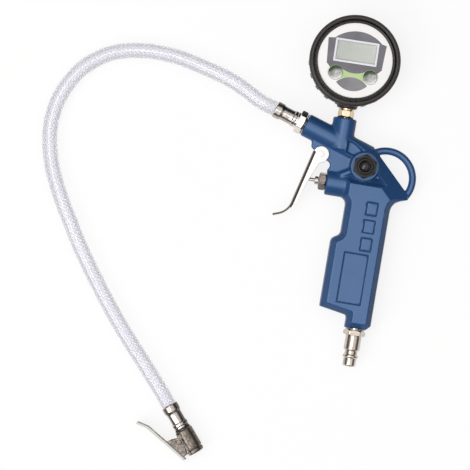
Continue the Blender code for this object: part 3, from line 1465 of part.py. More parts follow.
def chuck_body():
    """The chuck's body: a lipped barrel with a forked lug, milled flats and a slot for the claw."""
    profile = (
        (0.0, BODY_HIGH),
        (CHUCK_LIP_R - LIP_CHAMFER, BODY_HIGH),
        (CHUCK_LIP_R, BODY_HIGH - LIP_CHAMFER),
        (CHUCK_LIP_R, BODY_HIGH - CHUCK_LIP),
        (CHUCK_GROOVE_R, BODY_HIGH - CHUCK_LIP),
        (CHUCK_GROOVE_R, BODY_HIGH - CHUCK_LIP - CHUCK_GROOVE),
        (CHUCK_R, BODY_HIGH - CHUCK_LIP - CHUCK_GROOVE),
        (CHUCK_R, BODY_LOW + LIP_CHAMFER),
        (CHUCK_R - LIP_CHAMFER, BODY_LOW),
        (0.0, BODY_LOW),
    )
    body = turned("chuck_body", profile, CHUCK_FRAME, NICKEL, ROUND_STEPS)
    side = LUG_HALF + PLAY + CHUCK_SHEET
    for name, low, high in (("top", LUG_HALF, side * 2), ("bottom", -side * 2, -LUG_HALF)):
        corner = (CHUCK_PIVOT[0] - LUG_LENGTH / 2, -CHUCK_R * 2, low)
        cut(body, block(f"flat_{name}", corner, (BODY_HIGH + OVERLAP, -FLAT_REACH, high), CHUCK_FLAT))
    pivot_a, pivot_p = CHUCK_PIVOT
    foot = -CHUCK_R / 2
    lug = rounded((
        (pivot_a - LUG_LENGTH / 2, foot, 0.0),
        (pivot_a - LUG_TIP, -LUG_REACH, LUG_ROUND),
        (pivot_a + LUG_TIP, -LUG_REACH, LUG_ROUND),
        (pivot_a + LUG_LENGTH / 2, foot, 0.0),
    ))
    join(body, prism("lug", lug, -LUG_HALF, LUG_HALF, CHUCK_FLAT))
    notch = TORSION_R + TORSION_WIRE_R + FIT
    cut(body, block("spring_notch", (pivot_a - notch, -LUG_REACH * 2, -NOTCH_HALF),
                    (pivot_a + notch, pivot_p + notch, NOTCH_HALF), CHUCK_FLAT))
    slot_low = pivot_a + CLAW_AT - SLOT_ROOM
    cut(body, block("claw_slot", (slot_low, -CHUCK_R * 2, -SLOT_HALF),
                    (BODY_HIGH + OVERLAP, 0.0, SLOT_HALF), CHUCK_FLAT))
    cut(body, rod("mouth", MOUTH_R, MOUTH_FLOOR, BODY_HIGH + OVERLAP, CHUCK_FRAME, None, 24))
    tail_floor = BODY_LOW + TAIL_SCREWED + FIT
    cut(body, rod("tail_socket", TAIL_SPIGOT_R + FIT, BODY_LOW - OVERLAP, tail_floor, CHUCK_FRAME, None, 24))
    cut(body, rod("airway", AIRWAY_R, tail_floor - OVERLAP, MOUTH_FLOOR + OVERLAP, CHUCK_FRAME, None, 12))
    return cut(body, rod("lug_bore", CHUCK_PIN_R + FIT, -CHUCK_R, CHUCK_R, CHUCK_PIVOT_FRAME, None, 12))


def chuck_mouth():
    """The rubber grommet in the mouth and the pin that opens the tyre's valve."""
    bar_top = MOUTH_FLOOR + FIT + DEPRESSOR_BAR
    half = DEPRESSOR_BAR / 2
    reach = MOUTH_R - FIT * 2
    pin = rod("chuck_depressor", DEPRESSOR_R, MOUTH_FLOOR + FIT, MOUTH_FLOOR + DEPRESSOR, CHUCK_FRAME,
              BRASS, 12, PARTS)
    join(pin, block("depressor_bar", (-half * 1.5, -reach, MOUTH_FLOOR + FIT), (half * 1.5, reach, bar_top),
                    CHUCK_FRAME))
    grommet = ring("chuck_grommet", MOUTH_R - FIT, GROMMET_BORE_R, bar_top + FIT, bar_top + FIT + GROMMET,
                   CHUCK_FRAME, SEAL, 24)
    return pin, grommet


def chuck_lever():
    """The pressed lever: a thumb plate, two flanges with ears, and the claw that grips the valve."""
    half = LUG_HALF + PLAY + CHUCK_SHEET
    lean = math.radians(CHUCK_LEAN)
    way = Vector((-math.cos(lean), -math.sin(lean)))
    toe = Vector((CHUCK_TOE_A, -CHUCK_TOE_P))
    bend = toe + way * CHUCK_PLATE
    flick = math.radians(CHUCK_LEAN + CHUCK_FLICK)
    tip = bend + Vector((-math.cos(flick), -math.sin(flick))) * CHUCK_TIP
    lift = Vector((-math.sin(lean), math.cos(lean))) * CHUCK_SHEET
    tip_lift = Vector((-math.sin(flick), math.cos(flick))) * CHUCK_SHEET
    plate = [toe, toe + lift, bend + (lift + tip_lift) / 2, tip + tip_lift, tip, bend]
    lever = prism("chuck_lever", plate, -half, half, CHUCK_PIVOT_FRAME, NICKEL, PARTS)
    on_plate = toe + way * FLANGE_TO + lift / 2
    near_toe = toe + way * FLANGE_FROM + lift / 2
    flange = [
        tuple(on_plate),
        *arc((0.0, 0.0), CHUCK_EAR_R, 170, 60, 7),
        (CLAW_AT, CLAW_REACH),
        tuple(near_toe),
    ]
    for name, low in (("top", half - CHUCK_SHEET), ("bottom", -half)):
        join(lever, prism(f"chuck_flange_{name}", flange[::-1], low, low + CHUCK_SHEET, CHUCK_PIVOT_FRAME))
    claw_in = CHUCK_PIVOT_P - MOUTH_R
    claw_low = toe.y + way.y * (toe.x - CLAW_AT) / -way.x
    claw = block("claw", (CLAW_AT, claw_low, -SLOT_HALF + PLAY),
                 (CLAW_AT + CHUCK_SHEET, claw_in, SLOT_HALF - PLAY), CHUCK_PIVOT_FRAME)
    join(lever, claw)
    return cut(lever, rod("chuck_ear_holes", CHUCK_PIN_R + PLAY / 2, -half * 2, half * 2,
                          CHUCK_PIVOT_FRAME, None, 12))


def chuck_pin_and_spring():
    """The lever's pin through the lug, and the torsion spring round it."""
    reach = LUG_HALF + PLAY + CHUCK_SHEET + FIT
    profile = (
        (0.0, reach + PIN_HEAD_H),
        (CHUCK_PIN_R * 1.5, reach + PIN_HEAD_H),
        (CHUCK_PIN_R * 1.7, reach),
        (CHUCK_PIN_R, reach),
        (CHUCK_PIN_R, -reach),
        (CHUCK_PIN_R * 1.7, -reach),
        (CHUCK_PIN_R * 1.5, -reach - PIN_HEAD_H),
        (0.0, -reach - PIN_HEAD_H),
    )
    shade_round(turned("chuck_lever_pin", profile, CHUCK_PIVOT_FRAME, CHROME, 16))
    reach = NOTCH_HALF - FIT
    spring("chuck_spring", TORSION_R, TORSION_WIRE_R, -reach, reach, TORSION_TURNS,
           CHUCK_PIVOT_FRAME, STEEL)


def build():
    """Makes every piece."""
    shade_round(gun_body())
    shade_round(trigger_lever())
    trigger_pin()
    shade_round(valve_nut())
    stem_collar()
    valve_train()
    shade_round(release_valve_body())
    release_button()
    release_spring()
    shade_round(gauge_neck())
    shade_round(gauge_boot())
    shade_round(gauge_case())
    shade_round(battery_cover())
    bezel()
    shade_round(dial_panel())
    display()
    keys()
    gauge_works()
    shade_round(air_plug())
    hose_fitting()
    hose()
    chuck_tail()
    shade_round(chuck_body())
    chuck_mouth()
    shade_round(chuck_lever())
    chuck_pin_and_spring()


build()
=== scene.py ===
"""Dressed model of a hand-held tyre inflator with a digital gauge.

The finishes come first, then the ways to shape a surface, then the sub-assemblies and the
studio. Each sub-assembly is one
class: it holds its sizes in millimetres, makes its pieces from turned and flat surfaces or
from softened solids, dresses them, and hands every piece to the body that carries it.
"""

from __future__ import annotations

import logging
import math
from dataclasses import dataclass
from enum import Enum
from typing import Callable, Optional, Sequence

import bmesh
import bpy
import numpy as np
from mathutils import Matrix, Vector

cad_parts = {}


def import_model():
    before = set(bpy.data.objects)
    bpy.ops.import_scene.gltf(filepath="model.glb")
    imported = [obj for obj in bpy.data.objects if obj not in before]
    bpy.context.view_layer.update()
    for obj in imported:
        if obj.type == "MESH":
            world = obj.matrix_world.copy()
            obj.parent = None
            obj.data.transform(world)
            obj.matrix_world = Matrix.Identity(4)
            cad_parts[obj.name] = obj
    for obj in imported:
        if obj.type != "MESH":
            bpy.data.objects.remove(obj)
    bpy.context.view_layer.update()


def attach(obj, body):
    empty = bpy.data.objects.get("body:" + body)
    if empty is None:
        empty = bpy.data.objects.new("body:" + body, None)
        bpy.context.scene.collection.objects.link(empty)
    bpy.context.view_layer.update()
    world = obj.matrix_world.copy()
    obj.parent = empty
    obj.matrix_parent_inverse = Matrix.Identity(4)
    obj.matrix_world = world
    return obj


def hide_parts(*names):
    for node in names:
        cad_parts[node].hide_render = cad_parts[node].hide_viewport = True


Array = np.ndarray
Limit = Callable[[Array, Array], Array]
Point = tuple[float, float]
Spot = tuple[float, float, float]
Colour = tuple[float, float, float]
Socket = bpy.types.NodeSocket

LOG = logging.getLogger("tyre_inflator")
MM = 0.001
TINY = 1e-9
ON_AXIS = 1e-6
UNLIMITED = 1e6
WELD = 2e-7
MERGE = 1e-6
UV_NAME = "wrap"
UP, DOWN = (0.0, 0.0, 1.0), (0.0, 0.0, -1.0)
# The ways that the flanks with painted shade face, that the lever's open side faces, and that the clip's back
# plate with its painted highlight faces.
PAINTED_SHADE_SIDE = (0.62, 0.78, 0.0)
LEVER_SIDE = (1.0, 0.0, 0.0)
CLIP_BACK = (-0.53, -0.85, 0.0)
# The way in plan in which the keys' colour climbs from painted light to painted shadow, and the middle range
# of the noise.
UPHILL = (-0.35, 0.94)
MIDDLE = (0.3, 0.7)
NOISE_ROUGHNESS = 0.55


class Body(Enum):
    """The moving bodies of the frame."""

    GUN = "gun"
    TRIGGER = "trigger"
    STEM = "stem"
    RELEASE = "release"
    KEY_LEFT = "key_left"
    KEY_RIGHT = "key_right"
    CLIP = "clip_lever"


class Slot(Enum):
    """The record's material slots, which each finished piece names."""

    ENAMEL = "blue_enamel"
    CHROME = "chrome"
    NICKEL = "nickel"
    BRASS = "brass"
    BLACK = "black_plastic"
    RUBBER = "black_rubber"
    GREY = "grey_plastic"
    WHITE = "white_plastic"
    PALE = "pale_plastic"
    DISPLAY = "display"
    CLEAR = "clear_plastic"
    HOSE = "clear_hose"


# ------------------------------------------------------------------ shader wiring
class Wiring:
    """A material's node tree round one Principled shader."""

    def __init__(self, name: str) -> None:
        """Start a material with this name.

        Args:
            name: The material's name.
        """
        self.material = bpy.data.materials.new(name)
        self.material.use_nodes = True
        self.nodes = self.material.node_tree.nodes
        self.links = self.material.node_tree.links
        self.shader = self.nodes["Principled BSDF"]
        self.object = self.add("ShaderNodeTexCoord").outputs["Object"]

    def add(self, kind: str, **settings: object) -> bpy.types.Node:
        """Add a node of this kind with these settings.

        Args:
            kind: The node's Blender type.
            **settings: Its properties.

        Returns:
            The node.
        """
        node = self.nodes.new(kind)
        for key, value in settings.items():
            setattr(node, key, value)
        return node

    def put(self, socket: Socket, value: object) -> None:
        """Link or set one input socket.

        Args:
            socket: The input.
            value: A socket to link, a colour or a number.
        """
        if isinstance(value, Socket):
            self.links.new(value, socket)
        elif isinstance(value, tuple) and len(value) == 3 and socket.type == "RGBA":
            socket.default_value = (*value, 1.0)
        else:
            socket.default_value = value

    def set(self, **values: object) -> None:
        """Set the shader's sockets; an underscore stands for a space in their names."""
        for key, value in values.items():
            self.put(self.shader.inputs[key.replace("_", " ")], value)

    def calc(self, what: str, first: object, second: object = 0.0) -> Socket:
        """One step of arithmetic on two numbers.

        Args:
            what: The operation's Blender name.
            first: A number or a socket.
            second: Another, where the operation takes two.

        Returns:
            The result.
        """
        node = self.add("ShaderNodeMath", operation=what)
        self.put(node.inputs[0], first)
        self.put(node.inputs[1], second)
        return node.outputs[0]

    def span(self, value: object, low: float, high: float, out_low: float, out_high: float,
             smooth: bool = False) -> Socket:
        """Carry a number from one range to another, held at the ends.

        Args:
            value: A number or a socket.
            low: Where the range starts.
            high: Where it ends.
            out_low: What the start becomes.
            out_high: What the end becomes.
            smooth: Whether the way between the ends is an S curve.

        Returns:
            The carried number.
        """
        node = self.add("ShaderNodeMapRange", interpolation_type="SMOOTHSTEP" if smooth else "LINEAR")
        for socket, given in zip(node.inputs, (value, low, high, out_low, out_high)):
            self.put(socket, given)
        return node.outputs[0]

    def times(self, first: object, second: object) -> Socket:
        """The product of two numbers."""
        return self.calc("MULTIPLY", first, second)

    def mottle(self, scale: float, low: float, high: float, detail: float = 3.0) -> Socket:
        """Noise whose middle range is carried to this one."""
        return self.span(self.noise(scale, detail), *MIDDLE, low, high)

    def shade(self, colour: object, by: object) -> Socket:
        """A colour times another, or times a number."""
        return self.blend(1.0, colour, by, "MULTIPLY")

    def blend(self, share: object, first: object, second: object, how: str = "MIX") -> Socket:
        """Mix two colours.

        Args:
            share: How much of the second, from nothing to one.
            first: A colour or a socket.
            second: Another.
            how: The blend's Blender name.

        Returns:
            The mixed colour.
        """
        node = self.add("ShaderNodeMix", data_type="RGBA", blend_type=how)
        self.put(node.inputs["Factor"], share)
        self.put(node.inputs[6], first)
        self.put(node.inputs[7], second)
        return node.outputs[2]

    def stretch(self, scale: Spot) -> Socket:
        """Object coordinates, scaled on each axis.

        Args:
            scale: The factor on each axis.

        Returns:
            The scaled coordinates.
        """
        node = self.add("ShaderNodeMapping")
        self.links.new(self.object, node.inputs["Vector"])
        node.inputs["Scale"].default_value = scale
        return node.outputs[0]

    def noise(self, scale: float, detail: float = 3.0, source: Optional[Socket] = None) -> Socket:
        """Fractal noise over object coordinates in metres, or over others.

        Args:
            scale: Features to the metre.
            detail: How many finer layers it has.
            source: The coordinates, if not the object's own.

        Returns:
            The noise, from nothing to one.
        """
        node = self.add("ShaderNodeTexNoise")
        self.put(node.inputs["Vector"], source or self.object)
        node.inputs["Scale"].default_value = scale
        node.inputs["Detail"].default_value = detail
        node.inputs["Roughness"].default_value = NOISE_ROUGHNESS
        return node.outputs[0]

    def split(self, source: Socket) -> list[Socket]:
        """The first two numbers of a vector.

        Args:
            source: The vector.

        Returns:
            Its first two numbers.
        """
        node = self.add("ShaderNodeSeparateXYZ")
        self.links.new(source, node.inputs[0])
        return list(node.outputs)[:2]

    def wrap(self) -> list[Socket]:
        """The piece's own coordinates: the share of a turn, and metres along it."""
        return self.split(self.add("ShaderNodeUVMap", uv_map=UV_NAME).outputs[0])

    def about(self, centre: Point) -> tuple[Socket, Socket]:
        """How far a point lies from a centre in plan, and how far up the keys' slope from it.

        Args:
            centre: The centre in millimetres.

        Returns:
            The distance and the climb, in metres.
        """
        dx, dy = (self.calc("SUBTRACT", axis, at * MM) for axis, at in zip(self.split(self.object), centre))
        reach = self.calc("SQRT", self.calc("ADD", self.times(dx, dx), self.times(dy, dy)))
        return reach, self.calc("ADD", self.times(dx, UPHILL[0]), self.times(dy, UPHILL[1]))

    def edges(self, low: float, high: float) -> Socket:
        """How sharp an outer edge is, from nothing to one."""
        point = self.add("ShaderNodeNewGeometry").outputs["Pointiness"]
        return self.span(point, low, high, 0.0, 1.0, True)

    def facing(self, way: Spot, low: float, high: float, out_low: float, out_high: float) -> Socket:
        """Carry how squarely the surface faces a way, as a cosine, to another range.

        Args:
            way: The direction, of length one or nearly.
            low: Where the range starts.
            high: Where it ends.
            out_low: What the start becomes.
            out_high: What the end becomes.

        Returns:
            The carried number.
        """
        node = self.add("ShaderNodeVectorMath", operation="DOT_PRODUCT")
        self.links.new(self.add("ShaderNodeNewGeometry").outputs["Normal"], node.inputs[0])
        node.inputs[1].default_value = way
        return self.span(node.outputs["Value"], low, high, out_low, out_high, True)

    def relief(self, *layers: Spot) -> None:
        """Bump the surface with noise, each layer by its scale, its detail and its depth in metres."""
        self.bump(*((self.noise(scale, detail), depth) for scale, detail, depth in layers))

    def bump(self, *layers: tuple[object, float]) -> None:
        """Bump the surface with heights, each with its depth in metres.

        Args:
            *layers: Each height with its depth.
        """
        normal = None
        for height, depth in layers:
            node = self.add("ShaderNodeBump")
            node.inputs["Strength"].default_value = 1.0
            node.inputs["Distance"].default_value = depth
            self.put(node.inputs["Height"], height)
            if normal:
                self.links.new(normal, node.inputs["Normal"])
            normal = node.outputs[0]
        self.links.new(normal, self.shader.inputs["Normal"])


@dataclass(frozen=True)
class Finish:
    """What every finish has: a name and a way to build its material."""

    name: str

    def build(self) -> bpy.types.Material:
        """Build the material once and reuse it."""
        return bpy.data.materials.get(self.name) or self.wire(Wiring(self.name))

    def wire(self, w: Wiring) -> bpy.types.Material:
        """Wire the material's nodes."""
        raise NotImplementedError


@dataclass(frozen=True)
class Enamel(Finish):
    """Smooth coloured enamel over a casting, with painted sheen palest on its flats and painted shade deeper
    on slopes, in hollows and on the far flanks.
    """

    # colour carries a painted sheen on the flats; slope is the deeper tone of painted shade on slopes.
    colour: Colour = (0.074, 0.148, 0.300)
    slope: Colour = (0.020, 0.068, 0.188)
    worn: Colour = (0.060, 0.135, 0.28)
    roughness: float = 0.30
    drifted: Colour = (1.10, 1.10, 1.10)
    # The next two factors paint shade, on the far flanks and in the hollows.
    painted_shade_flank: float = 0.86
    hollow: float = 0.42
    painted_sheen_flats_at: Point = (0.92, 0.995)
    edges_at: Point = (0.512, 0.56)
    painted_shade_hollows_at: Point = (0.455, 0.492)
    painted_shade_far_at: Point = (0.12, 0.7)
    drift_scale: float = 26.0
    chip_scale: float = 420.0
    gloss_scale: float = 180.0
    peel: tuple[Spot, ...] = ((95.0, 1.0, 0.00010), (520.0, 2.0, 0.00006))

    def wire(self, w: Wiring) -> bpy.types.Material:
        """Wire the enamel: painted sheen on flats, painted shade on slopes, hollows and far flanks, worn
        edges, drift and orange peel.

        Args:
            w: The new material's wiring.

        Returns:
            The material.
        """
        # Painted sheen on the flats, painted shade on the slopes.
        flat = w.calc("MAXIMUM", *(w.facing(way, *self.painted_sheen_flats_at, 0.0, 1.0) for way in (UP, DOWN)))
        base = w.blend(flat, self.slope, self.colour)
        base = w.blend(w.mottle(self.drift_scale, 0.0, 1.0), base, w.shade(base, self.drifted))
        # Painted shade on the far flanks, then in the hollows.
        base = w.shade(base, w.facing(PAINTED_SHADE_SIDE, *self.painted_shade_far_at, 1.0, self.painted_shade_flank))
        sunk = w.calc("SUBTRACT", 1.0, w.edges(*self.painted_shade_hollows_at))
        base = w.blend(sunk, base, tuple(c * self.hollow for c in self.colour))
        chips = w.span(w.noise(self.chip_scale, 2.0), 0.35, 0.6, 0.3, 1.0)
        edge = w.times(w.edges(*self.edges_at), chips)
        w.set(Base_Color=w.blend(w.times(edge, 0.5), base, self.worn), IOR=1.5, Specular_IOR_Level=0.2,
              Roughness=w.mottle(self.gloss_scale, self.roughness - 0.05, self.roughness + 0.08))
        w.relief(*self.peel)
        return w.material


@dataclass(frozen=True)
class Plate(Finish):
    """A plated or bare metal, brushed all over by wear and polish."""

    colour: Colour
    dull: Colour
    roughness: float = 0.14
    turned: bool = False
    depth: float = 0.00001
    cloud: float = 70.0
    # The factor of painted shade on the far flanks; 1.0 paints none.
    painted_shade_flank: float = 1.0
    clouds_at: Point = (0.35, 0.72)
    painted_shade_far_at: Point = (0.25, 0.75)
    scratch_scale: float = 900.0
    scratch_pull: Spot = (1.0, 0.16, 1.0)
    ring_scale: float = 5200.0
    dents: Spot = (140.0, 1.0, 0.00003)

    def wire(self, w: Wiring) -> bpy.types.Material:
        """Wire the metal: tarnish on its clouds, painted shade on its far flanks, scratches, and rings where
        it is turned.

        Args:
            w: The new material's wiring.

        Returns:
            The material.
        """
        cloud = w.span(w.noise(self.cloud, 4.0), *self.clouds_at, 0.0, 1.0)
        marks = w.noise(self.scratch_scale, 2.0, w.stretch(self.scratch_pull))
        if self.turned:
            _, along = w.wrap()
            rings = w.add("ShaderNodeTexNoise", noise_dimensions="1D")
            w.put(rings.inputs["W"], along)
            w.put(rings.inputs["Scale"], self.ring_scale)
            w.put(rings.inputs["Detail"], 2.0)
            marks = rings.outputs[0]
        wear = w.calc("ADD", w.times(cloud, 0.6), w.times(marks, 0.5))
        rough = w.span(wear, 0.2, 0.9, self.roughness * 0.7, self.roughness * 1.7)
        metal = w.blend(cloud, self.colour, self.dull)
        # Painted shade on the flanks that face away from the light.
        if self.painted_shade_flank < 1.0:
            metal = w.shade(metal, w.facing(PAINTED_SHADE_SIDE, *self.painted_shade_far_at, 1.0, self.painted_shade_flank))
        w.set(Metallic=1.0, Base_Color=metal, Roughness=rough)
        scale, detail, depth = self.dents
        w.bump((marks, self.depth), (w.noise(scale, detail), depth))
        return w.material


@dataclass(frozen=True)
class LeverPlate(Plate):
    """Chrome over a pressed sheet, with brown painted shade where the sheet turns over its bend."""

    # The colour of the painted shade on the bend.
    painted_shade: Colour = (0.135, 0.108, 0.092)
    flat_at: Point = (0.78, 0.985)
    upright_at: Point = (0.05, 0.50)
    side_at: Point = (-0.2, 0.0)
    most: float = 0.92

    def wire(self, w: Wiring) -> bpy.types.Material:
        """Wire the chrome, then paint brown shade on what is neither flat nor upright, and turned from +X.

        Args:
            w: The new material's wiring.

        Returns:
            The material.
        """
        material = super().wire(w)
        clean = w.shader.inputs["Base Color"].links[0].from_socket
        # Painted shade on the bend, fullest where it is turned from +X.
        slope = w.times(w.facing(UP, *self.flat_at, 1.0, 0.0), w.facing(UP, *self.upright_at, 0.0, 1.0))
        share = w.times(slope, w.facing(LEVER_SIDE, *self.side_at, self.most, 0.0))
        w.set(Base_Color=w.blend(share, clean, self.painted_shade))
        return material


@dataclass(frozen=True)
class ClipPlate(Plate):
    """Dark nickel on a spring clip, with a painted highlight on the back that the thumb presses."""

    # The colour of the painted highlight, a pale reflection on the back plate.
    painted_highlight: Colour = (0.60, 0.575, 0.54)
    painted_highlight_at: Point = (0.45, 0.75)

    def wire(self, w: Wiring) -> bpy.types.Material:
        """Wire the nickel, then paint a pale highlight on what faces the clip's back.

        Args:
            w: The new material's wiring.

        Returns:
            The material.
        """
        material = super().wire(w)
        dark = w.shader.inputs["Base Color"].links[0].from_socket
        w.set(Base_Color=w.blend(w.facing(CLIP_BACK, *self.painted_highlight_at, 0.0, 1.0), dark, self.painted_highlight))
        return material


@dataclass(frozen=True)
class Moulded(Finish):
    """A moulded plastic or rubber with a fine grain and a little dust."""

    colour: Colour
    dusty: Colour
    roughness: float = 0.4
    grain: float = 1500.0
    depth: float = 0.00001
    coat: float = 0.0
    shine: float = 0.5
    dust_scale: float = 55.0
    dust_at: Point = (0.45, 0.75)
    gloss_scale: float = 240.0
    waves: Spot = (110.0, 1.0, 0.00004)

    def wire(self, w: Wiring) -> bpy.types.Material:
        """Wire the moulding: cloudy dust, uneven gloss and a grain.

        Args:
            w: The new material's wiring.

        Returns:
            The material.
        """
        dust = w.span(w.noise(self.dust_scale, 4.0), *self.dust_at, 0.0, 0.8)
        w.set(Base_Color=w.blend(dust, self.colour, self.dusty), Coat_Weight=self.coat,
              Roughness=w.mottle(self.gloss_scale, self.roughness * 0.85, self.roughness * 1.15),
              Specular_IOR_Level=self.shine)
        w.relief((self.grain, 2.0, self.depth), self.waves)
        return w.material


@dataclass(frozen=True)
class KeyFace(Finish):
    """A satin dished key: green painted shadow along its upper rim, pale painted light along its lower one.
    """

    centre: Point = (0.0, 0.0)
    radius: float = 5.4
    # pale is painted light along the lower rim; shade is a green painted shadow along the upper rim.
    pale: Colour = (0.74, 0.73, 0.70)
    middle: Colour = (0.30, 0.295, 0.30)
    shade: Colour = (0.030, 0.055, 0.018)
    painted_light_at: Point = (-4.4, -0.6)
    painted_shadow_at: Point = (0.2, 2.8)
    worn_at: Point = (1.2, 3.2)
    ragged: float = 0.6
    grain: Spot = (900.0, 2.0, 0.00003)

    def wire(self, w: Wiring) -> bpy.types.Material:
        """Wire the key's painted light and painted shadow: how far up its slope a point lies, how near its
        rim, and a worn middle.

        Args:
            w: The new material's wiring.

        Returns:
            The material.
        """
        reach, slope = w.about(self.centre)
        slope = w.calc("ADD", slope, w.mottle(700.0, -self.ragged * MM, self.ragged * MM))
        ranges = (self.painted_light_at, self.painted_shadow_at, self.worn_at)
        pale, shade, worn = ((low * MM, high * MM) for low, high in ranges)
        # Painted light below, with a worn middle; painted shadow along the upper rim.
        lower = w.blend(w.span(slope, *pale, 0.0, 1.0, True), self.pale, self.middle)
        speck = w.span(w.noise(*self.grain[:2]), 0.5, 0.62, 0.0, 0.55, True)
        lower = w.blend(w.times(speck, w.span(reach, *worn, 1.0, 0.0, True)), lower, self.pale)
        rim = w.span(reach, 0.25 * self.radius * MM, 0.8 * self.radius * MM, 0.25, 1.0, True)
        upper = w.times(w.span(slope, *shade, 0.0, 1.0, True), rim)
        w.set(Metallic=0.25, Base_Color=w.blend(upper, lower, self.shade),
              Roughness=w.mottle(500.0, 0.3, 0.42))
        w.relief(self.grain)
        return w.material


@dataclass(frozen=True)
class DialFace(Finish):
    """The white dial, with a soft green ring round each key, strongest on its upper side."""

    keys: tuple[Point, ...] = ()
    radius: float = 5.4
    paper: Colour = (0.89, 0.885, 0.88)
    glow: Colour = (0.40, 0.58, 0.22)
    ring_at: Point = (0.1, 1.5)
    aged: float = 0.97
    grain: Spot = (2200.0, 2.0, 0.000004)

    def wire(self, w: Wiring) -> bpy.types.Material:
        """Wire the dial: the green fades with the distance from the nearer key.

        Args:
            w: The new material's wiring.

        Returns:
            The material.
        """
        share: object = 0.0
        for centre in self.keys:
            reach, slope = w.about(centre)
            ring = w.span(reach, *((self.radius + edge) * MM for edge in self.ring_at), 1.0, 0.0, True)
            side = w.span(slope, -self.radius * MM, 0.5 * self.radius * MM, 0.12, 0.85, True)
            share = w.calc("MAXIMUM", share, w.times(ring, side))
        paper = w.blend(w.mottle(60.0, 0.0, 1.0), self.paper, tuple(c * self.aged for c in self.paper))
        w.set(Base_Color=w.blend(share, paper, self.glow), Coat_Weight=0.1,
              Roughness=w.mottle(240.0, 0.32, 0.42))
        w.relief(self.grain)
        return w.material


@dataclass(frozen=True)
class DisplayFace(Finish):
    """A reflective liquid crystal: a grey-green field, with painted shade towards its rim."""

    centre: Point = (0.0, 0.0)
    half: Point = (15.0, 7.5)
    colour: Colour = (0.475, 0.505, 0.460)
    # The colour of the painted shade along the rim.
    rim: Colour = (0.40, 0.43, 0.39)
    border: float = 1.6
    electrodes: float = 9000.0
    stripe: float = 0.012
    grain: Spot = (1300.0, 2.0, 0.000006)

    def wire(self, w: Wiring) -> bpy.types.Material:
        """Wire the display: painted shade along the rim, faint electrode lines, and a mottle with a ramp that
        brightens towards +X.

        Args:
            w: The new material's wiring.

        Returns:
            The material.
        """
        x, y = w.split(w.object)
        off = [w.calc("SUBTRACT", axis, at * MM) for axis, at in zip((x, y), self.centre)]
        sides = [w.span(w.calc("ABSOLUTE", away), (half - self.border) * MM, half * MM, 0.0, 1.0, True)
                 for away, half in zip(off, self.half)]
        drift = w.calc("ADD", w.mottle(120.0, 0.96, 1.02),
                       w.span(off[0], -self.half[0] * MM, self.half[0] * MM, -0.06, 0.14))
        lines = w.times(w.calc("SINE", w.times(x, self.electrodes)), self.stripe)
        ground = w.blend(w.times(w.calc("MAXIMUM", *sides), 0.7), self.colour, self.rim)
        w.set(Base_Color=w.shade(ground, w.calc("ADD", drift, lines)), Roughness=w.mottle(300.0, 0.18, 0.3))
        w.relief(self.grain)
        return w.material


@dataclass(frozen=True)
class Braid(Finish):
    """The yarn net inside the hose: two sets of lilac-white yarns crossing over a clear bore."""

    yarns: float = 11.0
    pitch: float = 0.0370
    yarn: Colour = (0.80, 0.80, 0.96)
    knot: Colour = (0.72, 0.72, 0.90)
    gap: Colour = (0.97, 0.97, 1.0)
    solid: Point = (0.08, 0.60)
    side: float = 0.42
    # How faint a set of yarns is on the side where its painted light is missing.
    shy: float = 0.3
    yarn_at: Point = (0.16, 0.27)
    painted_shade_flank_at: Point = (-0.25, 0.25)
    fibre: Spot = (2600.0, 2.0, 0.00001)
    proud: float = 0.00003

    def wire(self, w: Wiring) -> bpy.types.Material:
        """Wire the net: how far a point lies from a yarn's middle. Painted light makes each set show best on
        one side.

        Args:
            w: The new material's wiring.

        Returns:
            The material.
        """
        around, along = w.wrap()
        turn = w.times(around, self.yarns)
        advance = w.times(along, self.yarns / self.pitch)
        # Painted light: each set of yarns shows best on one side of the hose.
        painted_shade_flank = w.calc("COSINE", w.times(around, 2 * math.pi))
        covers, heights = [], []
        for sign, near, far in (("ADD", self.shy, 1.0), ("SUBTRACT", 1.0, self.shy)):
            phase = w.calc("FRACT", w.calc(sign, turn, advance))
            off = w.calc("ABSOLUTE", w.calc("SUBTRACT", phase, 0.5))
            lit = w.span(painted_shade_flank, *self.painted_shade_flank_at, near, far, True)
            covers.append(w.times(w.span(off, *self.yarn_at, 1.0, 0.0, True), lit))
            heights.append(w.span(off, 0.0, 0.22, 1.0, 0.0))
        cover = w.calc("MAXIMUM", *covers)
        scale, detail, depth = self.fibre
        cloth = w.shade(w.blend(w.times(*covers), self.yarn, self.knot), w.mottle(scale, 0.85, 1.0, detail))
        facing = w.add("ShaderNodeLayerWeight").outputs["Facing"]
        w.set(Base_Color=w.blend(cover, self.gap, cloth), Roughness=w.span(cover, 0.0, 1.0, 0.2, 0.5),
              Alpha=w.times(w.span(cover, 0.0, 1.0, *self.solid), w.span(facing, 0.3, 0.95, 1.0, self.side)))
        w.bump((w.calc("MAXIMUM", *heights), self.proud), (w.noise(scale, detail), depth))
        return w.material


